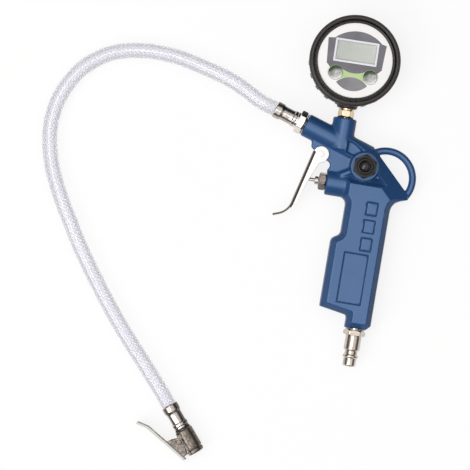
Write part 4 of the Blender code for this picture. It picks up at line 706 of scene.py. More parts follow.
@dataclass(frozen=True)
class ClearWall(Finish):
    """A clear plastic, seen through, under a gloss."""

    tint: Colour = (0.93, 0.93, 0.98)
    face_on: float = 0.30
    edge_on: float = 0.16
    through: float = 0.85
    roughness: float = 0.07
    coat: float = 1.0
    clearer: Colour = (0.97, 0.97, 1.0)
    index: float = 1.9
    sides_at: Point = (0.25, 0.95)
    waves: Spot = (60.0, 1.0, 0.00003)

    def wire(self, w: Wiring) -> bpy.types.Material:
        """Wire the wall: its cover goes from one share face on to another at its sides.

        Args:
            w: The new material's wiring.

        Returns:
            The material.
        """
        facing = w.add("ShaderNodeLayerWeight").outputs["Facing"]
        cover = w.span(facing, *self.sides_at, self.face_on, self.edge_on)
        cover = w.times(cover, w.mottle(160.0, 0.9, 1.1))
        w.set(Base_Color=w.blend(w.mottle(90.0, 0.0, 0.5, 2.0), self.tint, self.clearer), Alpha=cover,
              Roughness=w.mottle(400.0, self.roughness * 0.7, self.roughness * 1.5), IOR=self.index,
              Coat_Weight=self.coat, Coat_Roughness=0.04, Transmission_Weight=self.through)
        w.relief(self.waves)
        return w.material


ENAMEL = Enamel("blue_enamel_cast")
CHROME = Plate("bright_chrome", (0.86, 0.85, 0.84), (0.76, 0.74, 0.73), roughness=0.12)
LEVER_CHROME = LeverPlate("lever_chrome", (0.86, 0.85, 0.84), (0.78, 0.765, 0.75), roughness=0.12)
CHROME_TURNED = Plate("turned_chrome", (0.66, 0.63, 0.60), (0.48, 0.44, 0.41), roughness=0.14,
                      turned=True)
# Turned nickel with strong painted shade on its far flanks.
NICKEL_TURNED = Plate("turned_nickel", (0.58, 0.53, 0.505), (0.40, 0.355, 0.325), roughness=0.18,
                      turned=True, depth=0.000012, painted_shade_flank=0.22)
# A lighter copy of the nickel, for painted sheen on the fitting's flats, with near-black painted shade on its
# far flanks.
FITTING_NICKEL = Plate("fitting_nickel", (0.78, 0.735, 0.68), (0.68, 0.62, 0.56), roughness=0.18,
                       turned=True, painted_shade_flank=0.06)
# A darker, browner copy of the nickel, which paints shade on the nut's facets.
NUT_NICKEL = Plate("nut_nickel", (0.36, 0.31, 0.28), (0.16, 0.13, 0.115), roughness=0.2, turned=True,
                   depth=0.00002, cloud=500.0)
PLUG_NICKEL = Plate("plug_nickel", (0.68, 0.62, 0.55), (0.42, 0.36, 0.31), roughness=0.17, turned=True,
                    depth=0.000012)
CHUCK_NICKEL = Plate("chuck_nickel", (0.21, 0.18, 0.157), (0.075, 0.062, 0.052), roughness=0.3,
                     depth=0.00003, cloud=420.0)
CLIP_NICKEL = ClipPlate("clip_nickel", (0.22, 0.19, 0.17), (0.07, 0.058, 0.05), roughness=0.22,
                        depth=0.00002, cloud=380.0)
CELL_NICKEL = Plate("cell_nickel", (0.66, 0.65, 0.64), (0.5, 0.48, 0.46), roughness=0.2)
BRASS_TURNED = Plate("turned_brass", (0.84, 0.70, 0.52), (0.60, 0.43, 0.26), roughness=0.2, turned=True)
BRASS = Plate("plain_brass", (0.78, 0.58, 0.32), (0.55, 0.36, 0.16), roughness=0.22)
# A dark, dull brass, which paints the shade in the gap where the washer sits.
WASHER = Plate("washer_brass", (0.36, 0.29, 0.21), (0.20, 0.15, 0.11), roughness=0.35)
STEEL = Plate("spring_steel_wire", (0.50, 0.50, 0.51), (0.34, 0.33, 0.33), roughness=0.28)
DEFLATOR = Moulded("deflator_black", (0.018, 0.015, 0.014), (0.034, 0.028, 0.025), roughness=0.36,
                   shine=0.26)
DEFLATOR_GLOSS = Moulded("deflator_gloss", (0.010, 0.009, 0.009), (0.02, 0.018, 0.017), roughness=0.14,
                         depth=0.000004)
COVER_BLACK = Moulded("cover_black", (0.014, 0.013, 0.013), (0.03, 0.028, 0.027), roughness=0.3)
BEZEL_BLACK = Moulded("bezel_black", (0.016, 0.014, 0.013), (0.03, 0.027, 0.025), roughness=0.26)
RUBBER = Moulded("boot_rubber", (0.026, 0.020, 0.019), (0.046, 0.038, 0.035), roughness=0.5, grain=1900.0,
                 depth=0.00003)
SEAL = Moulded("seal_rubber_black", (0.012, 0.011, 0.010), (0.026, 0.024, 0.023), roughness=0.55,
               grain=2200.0, depth=0.00002)
GREY = Moulded("case_grey", (0.16, 0.155, 0.155), (0.2, 0.195, 0.19), roughness=0.48, grain=1500.0,
               depth=0.000016)
PALE = Moulded("frame_lilac", (0.78, 0.77, 0.84), (0.74, 0.73, 0.80), roughness=0.34, grain=2000.0,
               depth=0.000005, coat=0.1)
PRINT_GREY = Moulded("print_grey", (0.130, 0.122, 0.142), (0.205, 0.198, 0.216), roughness=0.42,
                     grain=500.0, depth=0.000006)
PRINT_LENS = Moulded("print_lens_grey", (0.185, 0.180, 0.195), (0.30, 0.295, 0.305), roughness=0.42,
                     grain=500.0, depth=0.000006)
PRINT_GREEN = Moulded("print_green", (0.43, 0.60, 0.24), (0.55, 0.68, 0.38), roughness=0.42, grain=900.0,
                      depth=0.000006)
BOARD = Moulded("board_green", (0.02, 0.15, 0.06), (0.03, 0.21, 0.09), roughness=0.4, grain=700.0,
                depth=0.00002)
LENS = ClearWall("window_clear", (0.9, 0.92, 0.93), face_on=0.04, edge_on=0.3, through=0.05, roughness=0.0)
HOSE_WALL = ClearWall("hose_wall_clear")
BRAID = Braid("hose_braid_net")


# ------------------------------------------------------------------ surfaces
@dataclass(frozen=True)
class Place:
    """Where a turned piece stands: its base in millimetres and the way its axis points."""

    base: Spot
    axis: Spot = UP

    def turn(self) -> Array:
        """The three columns side, other side and axis; the side lies level.

        Returns:
            A matrix of three by three.
        """
        z = np.array(self.axis) / np.linalg.norm(self.axis)
        x = np.array((1.0, 0.0, 0.0)) if abs(z[2]) > 0.99 else np.cross(UP, z)
        x = x / np.linalg.norm(x)
        return np.stack((x, np.cross(z, x), z), axis=1)

    def map(self, local: Array) -> Array:
        """Carry points from the piece's own frame to the row frame, in millimetres."""
        return local @ self.turn().T + np.array(self.base)

    def back(self, points: Array) -> Array:
        """Carry points of the row frame to the piece's own frame."""
        return (points - np.array(self.base)) @ self.turn()


def heading(degrees: float) -> Array:
    """The unit vector in plan at this angle."""
    return np.array((math.cos(math.radians(degrees)), math.sin(math.radians(degrees))))


def linked(name: str, data: bpy.types.ID) -> bpy.types.Object:
    """A new object of this data, in the scene.

    Args:
        name: The object's name.
        data: Its mesh, lamp or camera.

    Returns:
        The object.
    """
    obj = bpy.data.objects.new(name, data)
    bpy.context.scene.collection.objects.link(obj)
    return obj


def read(items: bpy.types.bpy_prop_collection, key: str, width: int, kind: type) -> Array:
    """One value of every item of a mesh, as rows of this width.

    Args:
        items: The mesh's points, edges, corners or faces.
        key: The value's Blender name.
        width: How many numbers each item has.
        kind: Their numpy type.

    Returns:
        The rows.
    """
    flat = np.empty(len(items) * width, kind)
    items.foreach_get(key, flat)
    return flat.reshape(-1, width)


def rounded(profile: Sequence[Point], radius: float, closed: bool = False, steps: int = 5,
            most: float = 0.42, lead: float = 0.25, lead_most: float = 0.06) -> Array:
    """Round the corners of a profile.

    A corner C between its neighbours A and B becomes the curve
    (1-t)^2 P + 2t(1-t) C + t^2 Q, where P and Q lie a radius from C towards A and B, or
    a share of the way where a side is short. One more point before and after each curve
    keeps the sides between the curves flat.

    Args:
        profile: The corners as (radius, height) in millimetres.
        radius: How far from each corner its curve starts, in millimetres.
        closed: Whether the last corner joins the first.
        steps: The number of spans in each curve.
        most: The largest share of a side that a curve takes.
        lead: How far beyond its curve each further point lies, as a share of the radius.
        lead_most: The largest share of a side that this distance takes.

    Returns:
        The points of the rounded profile, one row each.
    """
    corner = np.array(profile, float)
    before, after = np.roll(corner, 1, 0) - corner, np.roll(corner, -1, 0) - corner
    length_before = np.linalg.norm(before, axis=1, keepdims=True)
    length_after = np.linalg.norm(after, axis=1, keepdims=True)
    start = corner + before * np.minimum(radius / np.maximum(length_before, TINY), most)
    end = corner + after * np.minimum(radius / np.maximum(length_after, TINY), most)
    t = np.linspace(0.0, 1.0, steps + 1)[None, :, None]
    curve = (1 - t) ** 2 * start[:, None] + 2 * t * (1 - t) * corner[:, None] + t**2 * end[:, None]
    head = start + before * np.minimum(lead * radius / np.maximum(length_before, TINY), lead_most)
    tail = end + after * np.minimum(lead * radius / np.maximum(length_after, TINY), lead_most)
    full = np.concatenate((head[:, None], curve, tail[:, None]), axis=1)
    if closed:
        return full.reshape(-1, 2)
    middle = full[1:-1].reshape(-1, 2)
    return np.concatenate((corner[:1], middle, corner[-1:]))


def denser(profile: Array, step: float, closed: bool = False) -> Array:
    """Divide the spans of a profile so that none is longer than a step.

    Args:
        profile: The points, one row each.
        step: The longest span, in millimetres.
        closed: Whether the last point joins the first.

    Returns:
        The points, with new ones evenly along each long span.
    """
    ends = np.roll(profile, -1, 0) if closed else profile[1:]
    starts = profile if closed else profile[:-1]
    parts = [a + (b - a) * np.linspace(0, 1, max(1, math.ceil(np.linalg.norm(b - a) / step)),
                                       endpoint=False)[:, None] for a, b in zip(starts, ends)]
    return np.concatenate(parts if closed else [*parts, profile[-1:]])


def grid_object(name: str, points: Array, closed_rows: bool,
                along: Optional[Array] = None) -> bpy.types.Object:
    """Make an object from a grid of points whose columns close on themselves.

    Args:
        name: The object's name.
        points: Rows by columns by three, in millimetres.
        closed_rows: Whether the last row joins the first.
        along: Each row's distance along the piece in metres, for its own coordinates.

    Returns:
        The object, with its doubles merged and its faces outwards.
    """
    rows, columns = points.shape[:2]
    row = np.arange(rows if closed_rows else rows - 1)[:, None]
    column = np.arange(columns)[None, :]
    next_row, next_column = (row + 1) % rows, (column + 1) % columns
    around = (row * columns + column, row * columns + next_column,
              next_row * columns + next_column, next_row * columns + column)
    faces = np.stack(around, axis=-1).reshape(-1, 4)
    mesh = bpy.data.meshes.new(name)
    mesh.from_pydata((points.reshape(-1, 3) * MM).tolist(), [], faces.tolist())
    if along is None:
        path = np.linalg.norm(np.diff(points, axis=0), axis=2).mean(axis=1)
        along = np.concatenate(((0.0,), np.cumsum(path))) * MM
    along = np.concatenate((along, along[-1:]))
    v_low = np.broadcast_to(along[row], (len(row), columns))
    v_high = np.broadcast_to(along[row + 1], (len(row), columns))
    u_low = np.broadcast_to(column / columns, (len(row), columns))
    u_high = u_low + 1.0 / columns
    chart = np.stack((u_low, v_low, u_high, v_low, u_high, v_high, u_low, v_high), axis=-1)
    mesh.uv_layers.new(name=UV_NAME).data.foreach_set("uv", chart.astype(np.float32).ravel())
    work = bmesh.new()
    work.from_mesh(mesh)
    bmesh.ops.remove_doubles(work, verts=work.verts, dist=WELD)
    bmesh.ops.dissolve_degenerate(work, edges=work.edges, dist=WELD)
    bmesh.ops.recalc_face_normals(work, faces=work.faces)
    work.to_mesh(mesh)
    work.free()
    mesh.shade_smooth()
    return linked(name, mesh)


def turned(name: str, profile: Array, place: Place, closed: bool = False, columns: int = 96,
           limit: Optional[Limit] = None, swell: Optional[Limit] = None) -> bpy.types.Object:
    """Turn a profile round an axis.

    A point is (R cos a, R sin a, h), where R is the profile's radius, held below a limit
    of the angle a and the height h, and swelled by another function of both.

    Args:
        name: The object's name.
        profile: Radius and height in millimetres, one row each.
        place: Where the axis stands.
        closed: Whether the profile is a loop.
        columns: The number of faces round the axis.
        limit: The most that the radius may be, from the angle and the height.
        swell: What is added to the radius, from the angle and the height.

    Returns:
        The object.
    """
    angle = np.arange(columns)[None, :] * (2 * math.pi / columns)
    height = profile[:, 1][:, None] + angle * 0
    reach = profile[:, 0][:, None] + angle * 0
    if limit:
        reach = np.minimum(reach, limit(angle, height))
    if swell:
        reach = reach + np.where(reach > ON_AXIS, swell(angle, height), 0.0)
    local = np.stack((reach * np.cos(angle), reach * np.sin(angle), height), axis=-1)
    return grid_object(name, place.map(local), closed)


def sided(across: float, low: float, high: float, sides: int = 6, first: float = 0.0,
          soft: float = 0.985) -> Limit:
    """The radius of a prism with flat sides between two heights.

    Away from the middle of a side by the angle b the radius is half the width across
    flats over cos b, and the corners are rubbed down a little.

    Args:
        across: The width across flats, in millimetres.
        low: Where the prism starts.
        high: Where it ends.
        sides: The number of flats.
        first: The angle of one corner, in degrees.
        soft: The share of the corner radius that is left.

    Returns:
        A function of the angle and the height.
    """
    span = 2 * math.pi / sides
    corner = across / 2 / math.cos(span / 2)

    def radius(angle: Array, height: Array) -> Array:
        """The prism's radius, or no limit outside its heights.

        Args:
            angle: The angle round the axis.
            height: The height on it.

        Returns:
            The radius.
        """
        off = np.mod(angle - math.radians(first), span) - span / 2
        flat = np.minimum(across / 2 / np.cos(off), corner * soft)
        return np.where((height > low) & (height < high), flat, UNLIMITED)

    return radius


def tube(name: str, path: Array, radius: float, columns: int, level: float = 0.0) -> bpy.types.Object:
    """Carry a circle along a path that never stands upright, and close its ends.

    At each point of the path the circle's first axis is level and square to the path, and
    its second is square to both.

    Args:
        name: The object's name.
        path: The centreline in millimetres, one row each.
        radius: The circle's radius, in millimetres.
        columns: The number of faces round it.
        level: How far each end is drawn in, in millimetres.

    Returns:
        The object.
    """
    ahead = np.gradient(path, axis=0)
    ahead /= np.linalg.norm(ahead, axis=1, keepdims=True)
    side = np.cross(ahead, UP)
    side /= np.linalg.norm(side, axis=1, keepdims=True)
    up = np.cross(side, ahead)
    angle = np.arange(columns)[None, :, None] * (2 * math.pi / columns)
    ring = side[:, None] * np.cos(angle) + up[:, None] * np.sin(angle)
    body = path[:, None] + ring * radius
    first = path[:1, None] + ring[:1] * 0 + ahead[:1, None] * level
    last = path[-1:, None] + ring[:1] * 0 - ahead[-1:, None] * level
    along = np.concatenate(((0.0,), np.cumsum(np.linalg.norm(np.diff(path, axis=0), axis=1)))) * MM
    along = np.concatenate((along[:1], along, along[-1:]))
    return grid_object(name, np.concatenate((first, body, last)), False, along)


def slab(name: str, outline: Array, low: float, high: float, holes: Sequence[Array] = ()) -> bpy.types.Object:
    """A flat plate between two heights, from its outline and the outlines of its holes.

    Args:
        name: The object's name.
        outline: The outer edge in millimetres, anticlockwise, one row each.
        low: The height of its back.
        high: The height of its front.
        holes: The edges of its holes.

    Returns:
        The object, closed on every side.
    """
    work = bmesh.new()
    loops = []
    for edge in (outline, *holes):
        verts = [work.verts.new((x * MM, y * MM, low * MM)) for x, y in edge]
        loops += [work.edges.new((a, b)) for a, b in zip(verts, verts[1:] + verts[:1])]
    bmesh.ops.triangle_fill(work, use_beauty=True, use_dissolve=False, edges=loops)
    flat = list(work.faces)
    bmesh.ops.recalc_face_normals(work, faces=flat)
    grown = bmesh.ops.extrude_face_region(work, geom=flat)["geom"]
    moved = [v for v in grown if isinstance(v, bmesh.types.BMVert)]
    bmesh.ops.translate(work, verts=moved, vec=(0.0, 0.0, (high - low) * MM))
    bmesh.ops.recalc_face_normals(work, faces=work.faces)
    mesh = bpy.data.meshes.new(name)
    work.to_mesh(mesh)
    work.free()
    return linked(name, mesh)


def arc_points(start: Point, crest: Point, end: Point, count: int = 24) -> Array:
    """Points on the circle through three points.

    The centre is as far from all three, so it solves 2 (P - Q) . C = |P|^2 - |Q|^2 for two
    pairs of them.

    Args:
        start: The first point.
        crest: A point between them.
        end: The last point.
        count: How many points to give.

    Returns:
        The points, from the first to the last.
    """
    p, q, r = (np.array(point, float) for point in (start, crest, end))
    centre = np.linalg.solve(2 * np.stack((q - p, r - p)), (q @ q - p @ p, r @ r - p @ p))
    angles = np.unwrap([math.atan2(*(point - centre)[::-1]) for point in (p, q, r)])
    angle = np.linspace(angles[0], angles[2], count)
    return centre + np.linalg.norm(p - centre) * np.stack((np.cos(angle), np.sin(angle)), axis=1)


def circle(centre: Point, radius: float, count: int = 64) -> Array:
    """Points on a circle, anticlockwise."""
    angle = np.arange(count) * (2 * math.pi / count)
    return np.array(centre) + radius * np.stack((np.cos(angle), np.sin(angle)), axis=1)


def rectangle(centre: Point, wide: float, tall: float, corner: float, count: int = 6) -> Array:
    """A rectangle with round corners, anticlockwise.

    Args:
        centre: Its middle.
        wide: Its width.
        tall: Its height.
        corner: The radius of its corners.
        count: The points in each corner.

    Returns:
        The points, one row each.
    """
    angle = np.arange(4)[:, None] * (math.pi / 2) + np.linspace(0, math.pi / 2, count)[None, :]
    signs = np.array(((1, 1), (-1, 1), (-1, -1), (1, -1)), float)
    middle = signs * (np.array((wide, tall)) / 2 - corner)
    ring = np.stack((np.cos(angle), np.sin(angle)), axis=-1) * corner
    return (np.array(centre) + middle[:, None] + ring).reshape(-1, 2)


# ------------------------------------------------------------------ softened solids
@dataclass(frozen=True)
class TrueRound:
    """A cylinder whose facets are drawn out to its real radius before softening."""

    place: Place
    radius: float
    low: float
    high: float
    inside: float = 0.16
    beyond: float = 0.05

    def draw(self, points: Array) -> Array:
        """Move the points that lie just inside the cylinder out to it.

        Args:
            points: The points in millimetres, one row each.

        Returns:
            The points with those near the cylinder on it.
        """
        local = self.place.back(points)
        reach = np.hypot(local[:, 0], local[:, 1])
        near = (reach > self.radius - self.inside) & (reach < self.radius + self.beyond)
        near &= (local[:, 2] > self.low) & (local[:, 2] < self.high)
        scale = np.where(near, self.radius / np.maximum(reach, TINY), 1.0)
        local[:, :2] *= scale[:, None]
        return self.place.map(local)


@dataclass(frozen=True)
class Bend:
    """The outer corner of a pressed channel: a flat sheet's edge folded over."""

    place: Place
    lean: float
    face: Point
    way: float
    half: float
    radius: float
    sheet: float
    low: float
    high: float
    curl: Optional[Spot] = None
    root: float = 4.0
    fading: float = 2.6

    def depth(self, flat: Array) -> Array:
        """How deep points lie under the plate's outer face.

        On the straight part it is the distance from a line. Past the curl's start it is the
        distance from the curl's centre less its radius, and past its end the distance from
        the line that leaves it.

        Args:
            flat: The points in the channel's own plane, in millimetres.

        Returns:
            The depths.
        """
        straight = (flat - np.array(self.face)) @ heading(self.way)
        if self.curl is None:
            return straight
        radius, start, sweep = self.curl
        centre = np.array((self.face[0] - radius, start))
        off = flat - centre
        angle = np.degrees(np.arctan2(off[:, 1], off[:, 0]))
        past = np.where(angle < -sweep, off @ heading(-sweep), np.hypot(off[:, 0], off[:, 1])) - radius
        return np.where(flat[:, 1] >= start, straight, past)

    def basis(self) -> Array:
        """The channel's own axes: two in the plane of its profile, and one across it.

        Returns:
            A matrix with one axis a column.
        """
        turn = math.radians(self.lean)
        side, other, across = self.place.turn().T
        return np.stack((side * math.cos(turn) + other * math.sin(turn),
                         other * math.cos(turn) - side * math.sin(turn), across), axis=1)

    def slant(self, points: Array, reach: float) -> Array:
        """Lean the plate, so that its lower edge stands further out than its upper one.

        The shift grows evenly from the upper edge to the lower, and fades to nothing at the
        root's depth under the plate's face, so that the flanges stay.

        Args:
            points: The points in millimetres, one row each.
            reach: How far the lower edge moves out.

        Returns:
            The points with the plate leaning.
        """
        basis = self.basis()
        local = (points - np.array(self.place.base)) @ basis
        fade = np.clip((self.root - self.depth(local[:, :2])) / self.fading, 0.0, 1.0)
        share = np.clip(0.5 - local[:, 2] / (2 * self.half), 0.0, 1.0)
        local[:, :2] += -heading(self.way) * (reach * fade * share)[:, None]
        return local @ basis.T + np.array(self.place.base)

    def draw(self, points: Array) -> Array:
        """Round the two corners of the channel to quarter circles.

        With the depth u under the plate's face and v under the flange's face, a point nearer
        the corner than the circle about (R, R) is drawn in to that circle. On the sheet's
        inner side the circle is smaller by the sheet's thickness.

        Args:
            points: The points in millimetres, one row each.

        Returns:
            The points with the corners rounded.
        """
        basis = self.basis()
        local = (points - np.array(self.place.base)) @ basis
        u = self.depth(local[:, :2])
        v = self.half - np.abs(local[:, 2])
        step = 1e-3
        slope_x = (self.depth(local[:, :2] + np.array((step, 0.0))) - u) / step
        slope_y = (self.depth(local[:, :2] + np.array((0.0, step))) - u) / step
        a, b = np.maximum(self.radius - u, 0.0), np.maximum(self.radius - v, 0.0)
        reach = np.hypot(a, b)
        inner = (u > self.sheet / 2) & (v > self.sheet / 2)
        target = np.where(inner, self.radius - self.sheet, self.radius)
        near = (reach > target) & (local[:, 1] > self.low) & (local[:, 1] < self.high) & (u > -0.2)
        near &= ~inner | (np.minimum(u, v) < self.sheet + 0.3)
        keep = np.where(near, target / np.maximum(reach, TINY), 1.0)
        in_u, in_v = a * (1 - keep), b * (1 - keep)
        local[:, 0] += slope_x * in_u
        local[:, 1] += slope_y * in_u
        local[:, 2] -= np.sign(local[:, 2]) * in_v
        return local @ basis.T + np.array(self.place.base)


@dataclass(frozen=True)
class Groove:
    """A thin engraved frame on both flats of the casting."""

    centre: Point
    size: Point
    thick: float
    width: float = 0.8
    depth: float = 0.8
    beside: float = 1.4
    sunk: float = 0.8
    flat: float = 0.3
    brow: float = 0.62
    slope: float = 0.42

    def distance(self, points: Array) -> Array:
        """How far points lie, in plan, from the middle of the groove's line.

        Args:
            points: The points in millimetres, one row each.

        Returns:
            The distances from the rectangle that the line follows.
        """
        off = np.abs(points[:, :2] - np.array(self.centre))
        beyond = off - (np.array(self.size) / 2 - self.width / 2)
        outside = np.hypot(*np.maximum(beyond, 0.0).T)
        return np.abs(outside + np.minimum(beyond.max(axis=1), 0.0))

    def fill(self, points: Array) -> Array:
        """Bring what lies in or beside the groove up to the flats.

        Args:
            points: The points in millimetres, one row each.

        Returns:
            The points with the groove filled.
        """
        near = self.distance(points) < self.width * self.beside
        top = near & (points[:, 2] > self.thick - self.sunk)
        bottom = near & (points[:, 2] < self.sunk)
        points[:, 2] = np.where(top, self.thick, np.where(bottom, 0.0, points[:, 2]))
        return points

    def carve(self, points: Array) -> Array:
        """Sink the groove with round shoulders.

        The depth is whole up to the foot of the shoulder, and falls to nothing at its brow by
        3t^2 - 2t^3. Brow and slope are shares of the groove's width.

        Args:
            points: The points in millimetres, one row each.

        Returns:
            The points with the groove in both flats.
        """
        t = np.clip((self.brow * self.width - self.distance(points)) / (self.slope * self.width), 0.0, 1.0)
        sink = self.depth * t * t * (3 - 2 * t)
        top, bottom = points[:, 2] > self.thick - self.flat, points[:, 2] < self.flat
        points[:, 2] += np.where(top, -sink, np.where(bottom, sink, 0.0))
        return points


@dataclass(frozen=True)
class Softening:
    """How a plain solid becomes a cast or pressed one."""

    voxel: float
    rounds: int
    outer: float
    keep: float = 1.0
    cylinders: tuple[TrueRound, ...] = ()
    bends: tuple[Bend, ...] = ()
    grooves: tuple[Groove, ...] = ()

    def run(self, node: str, name: str) -> bpy.types.Object:
        """Copy a node, lay an even skin on it, and relax the skin.

        Args:
            node: The plain solid's name.
            name: The finished piece's name.

        Returns:
            The finished object.
        """
        obj = self.skin(node, name)
        mesh = obj.data
        points = self.points(mesh)
        for cylinder in self.cylinders:
            points = cylinder.draw(points)
        for groove in self.grooves:
            points = groove.fill(points)
        for bend in self.bends:
            points = bend.draw(points)
        self.put(mesh, self.relax(mesh, points))
        if self.grooves:
            self.divide(mesh)
            points = self.points(mesh)
            for groove in self.grooves:
                points = groove.carve(points)
            self.put(mesh, points)
        if self.keep < 1.0:
            thin = obj.modifiers.new("thin", "DECIMATE")
            thin.ratio = self.keep
            self.apply(obj)
        obj.data.shade_smooth()
        return obj

    @staticmethod
    def points(mesh: bpy.types.Mesh) -> Array:
        """A mesh's points in millimetres, one row each."""
        return read(mesh.vertices, "co", 3, np.float32).astype(float) / MM

    @staticmethod
    def put(mesh: bpy.types.Mesh, points: Array) -> None:
        """Move a mesh's points to these, in millimetres."""
        mesh.vertices.foreach_set("co", (points * MM).astype(np.float32).ravel())
        mesh.update()

    def divide(self, mesh: bpy.types.Mesh) -> None:
        """Split the faces beside the grooves, so that their edges are crisp.

        Args:
            mesh: The mesh to divide.
        """
        points = self.points(mesh)
        near = np.zeros(len(points), bool)
        for groove in self.grooves:
            level = (points[:, 2] > groove.thick - groove.flat) | (points[:, 2] < groove.flat)
            near |= level & (groove.distance(points) < groove.width * 1.1)
        chosen = np.flatnonzero(near[read(mesh.edges, "vertices", 2, np.int32)].all(axis=1))
        work = bmesh.new()
        work.from_mesh(mesh)
        work.edges.ensure_lookup_table()
        edges = [work.edges[i] for i in chosen.tolist()]
        bmesh.ops.subdivide_edges(work, edges=edges, cuts=2, use_grid_fill=True)
        work.to_mesh(mesh)
        work.free()

    def skin(self, node: str, name: str) -> bpy.types.Object:
        """A merged copy of the node, remeshed with even faces.

        Args:
            node: The plain solid's name.
            name: The finished piece's name.

        Returns:
            The new object.
        """
        work = bmesh.new()
        work.from_mesh(bpy.data.objects[node].data)
        bmesh.ops.remove_doubles(work, verts=work.verts, dist=MERGE)
        mesh = bpy.data.meshes.new(name)
        work.to_mesh(mesh)
        work.free()
        obj = linked(name, mesh)
        remesh = obj.modifiers.new("skin", "REMESH")
        remesh.mode = "VOXEL"
        remesh.voxel_size = self.voxel * MM
        self.apply(obj)
        return obj

    @staticmethod
    def apply(obj: bpy.types.Object) -> None:
        """Fix an object's modifiers into its mesh.

        Args:
            obj: The object.
        """
        graph = bpy.context.evaluated_depsgraph_get()
        mesh = bpy.data.meshes.new_from_object(obj.evaluated_get(graph))
        obj.modifiers.clear()
        obj.data = mesh

    def relax(self, mesh: bpy.types.Mesh, points: Array) -> Array:
        """Draw every point towards the mean of its neighbours.

        A point in a hollow corner moves half the way, which fills the corner with a fillet.
        A point on an outer edge moves a share of that, which only rubs the edge down.

        Args:
            mesh: The mesh, for its edges and faces.
            points: Its points in millimetres.

        Returns:
            The relaxed points.
        """
        a, b = read(mesh.edges, "vertices", 2, np.int32).T
        corners = read(mesh.loops, "vertex_index", 1, np.int32).ravel()
        starts = read(mesh.polygons, "loop_start", 1, np.int32).ravel()
        p, q, r = corners[starts], corners[starts + 1], corners[starts + 2]
        count = len(points)
        degree = np.bincount(a, minlength=count) + np.bincount(b, minlength=count)
        for turn in range(self.rounds):
            if turn % 4 == 0:
                face = np.cross(points[q] - points[p], points[r] - points[p])
                normal = np.stack([sum(np.bincount(i, face[:, k], count) for i in (p, q, r))
                                   for k in range(3)], axis=1)
                normal /= np.maximum(np.linalg.norm(normal, axis=1, keepdims=True), TINY**2)
            mean = np.stack([np.bincount(a, points[b, k], count) + np.bincount(b, points[a, k], count)
                             for k in range(3)], axis=1) / np.maximum(degree, 1)[:, None]
            move = mean - points
            hollow = np.einsum("ij,ij->i", move, normal) > 0
            points = points + move * np.where(hollow, 0.5, 0.5 * self.outer)[:, None]
        return points


# ------------------------------------------------------------------ pieces
class SubAssembly:
    """What every sub-assembly does with its finished pieces."""

    def hand(self, obj: bpy.types.Object, finish: Finish, slot: Slot, body: Body,
             *nodes: str) -> bpy.types.Object:
        """Dress a piece and hand it to its body.

        Args:
            obj: The piece.
            finish: Its material.
            slot: The record's slot; not used.
            body: What it moves with.
            *nodes: The plain solids that it stands for.

        Returns:
            The piece.
        """
        obj.data.materials.clear()
        obj.data.materials.append(finish.build())
        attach(obj, body.value)
        if nodes:
            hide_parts(*nodes)
        LOG.info("%s: %d faces, rides on %s", obj.name, len(obj.data.polygons), body.value)
        return obj

    def lathe(self, name: str, place: Place, profile: Sequence[Point], look: tuple[Finish, Slot], node: str,
              corner: float = 0.3, step: float = 0.0, columns: int = 144, closed: bool = True,
              limit: Optional[Limit] = None, swell: Optional[Limit] = None,
              body: Body = Body.GUN) -> bpy.types.Object:
        """Turn a profile with soft corners, dress it and hand it over.

        Args:
            name: The piece's name.
            place: The axis that it stands on.
            profile: Its corners as (radius, height) in millimetres.
            look: Its material and the record's slot.
            node: The plain solid that it stands for.
            corner: The radius of its corners, in millimetres.
            step: The longest span along the profile, or nothing for the profile's own.
            columns: The number of faces round the axis.
            closed: Whether the profile is a loop.
            limit: The most that the radius may be.
            swell: What is added to the radius.
            body: What it moves with.

        Returns:
            The piece.
        """
        line = rounded(profile, corner, closed)
        if step:
            line = denser(line, step, closed)
        return self.hand(turned(name, line, place, closed, columns, limit, swell), *look, body, node)

    @staticmethod
    def dress(finish: Finish, *nodes: str) -> None:
        """Give plain solids that stay in sight a material.

        Args:
            finish: The material.
            *nodes: The plain solids.
        """
        for node in nodes:
            obj = bpy.data.objects[node]
            for place in obj.material_slots:
                place.material = finish.build()
            LOG.info("%s: kept, %s", node, finish.name)


BARREL = Place((-50.09, 24.792, 13.0), (-0.951057, 0.309017, 0.0))
PORT = Place((-20.6, 0.0, 13.0), (0.0, 1.0, 0.0))
VALVE = Place((-27.3, -16.2, 13.0), (-1.0, 0.0, 0.0))
INLET = Place((13.5, -124.0, 13.0), (0.0, -1.0, 0.0))
BOSS = Place((0.0, 0.0, 0.0))
DIAL = Place((-20.6, 78.2, 0.0))
PIVOT = Place((-34.4, 4.2, 13.0))
CHUCK = Place((-106.3, -220.3, 7.4), (0.636078, -0.771625, 0.0))
CHUCK_BACK = Place((-106.3, -220.3, 7.4), (-0.636078, 0.771625, 0.0))
CLIP_PIVOT = Place((-105.586, -232.8, 7.4))


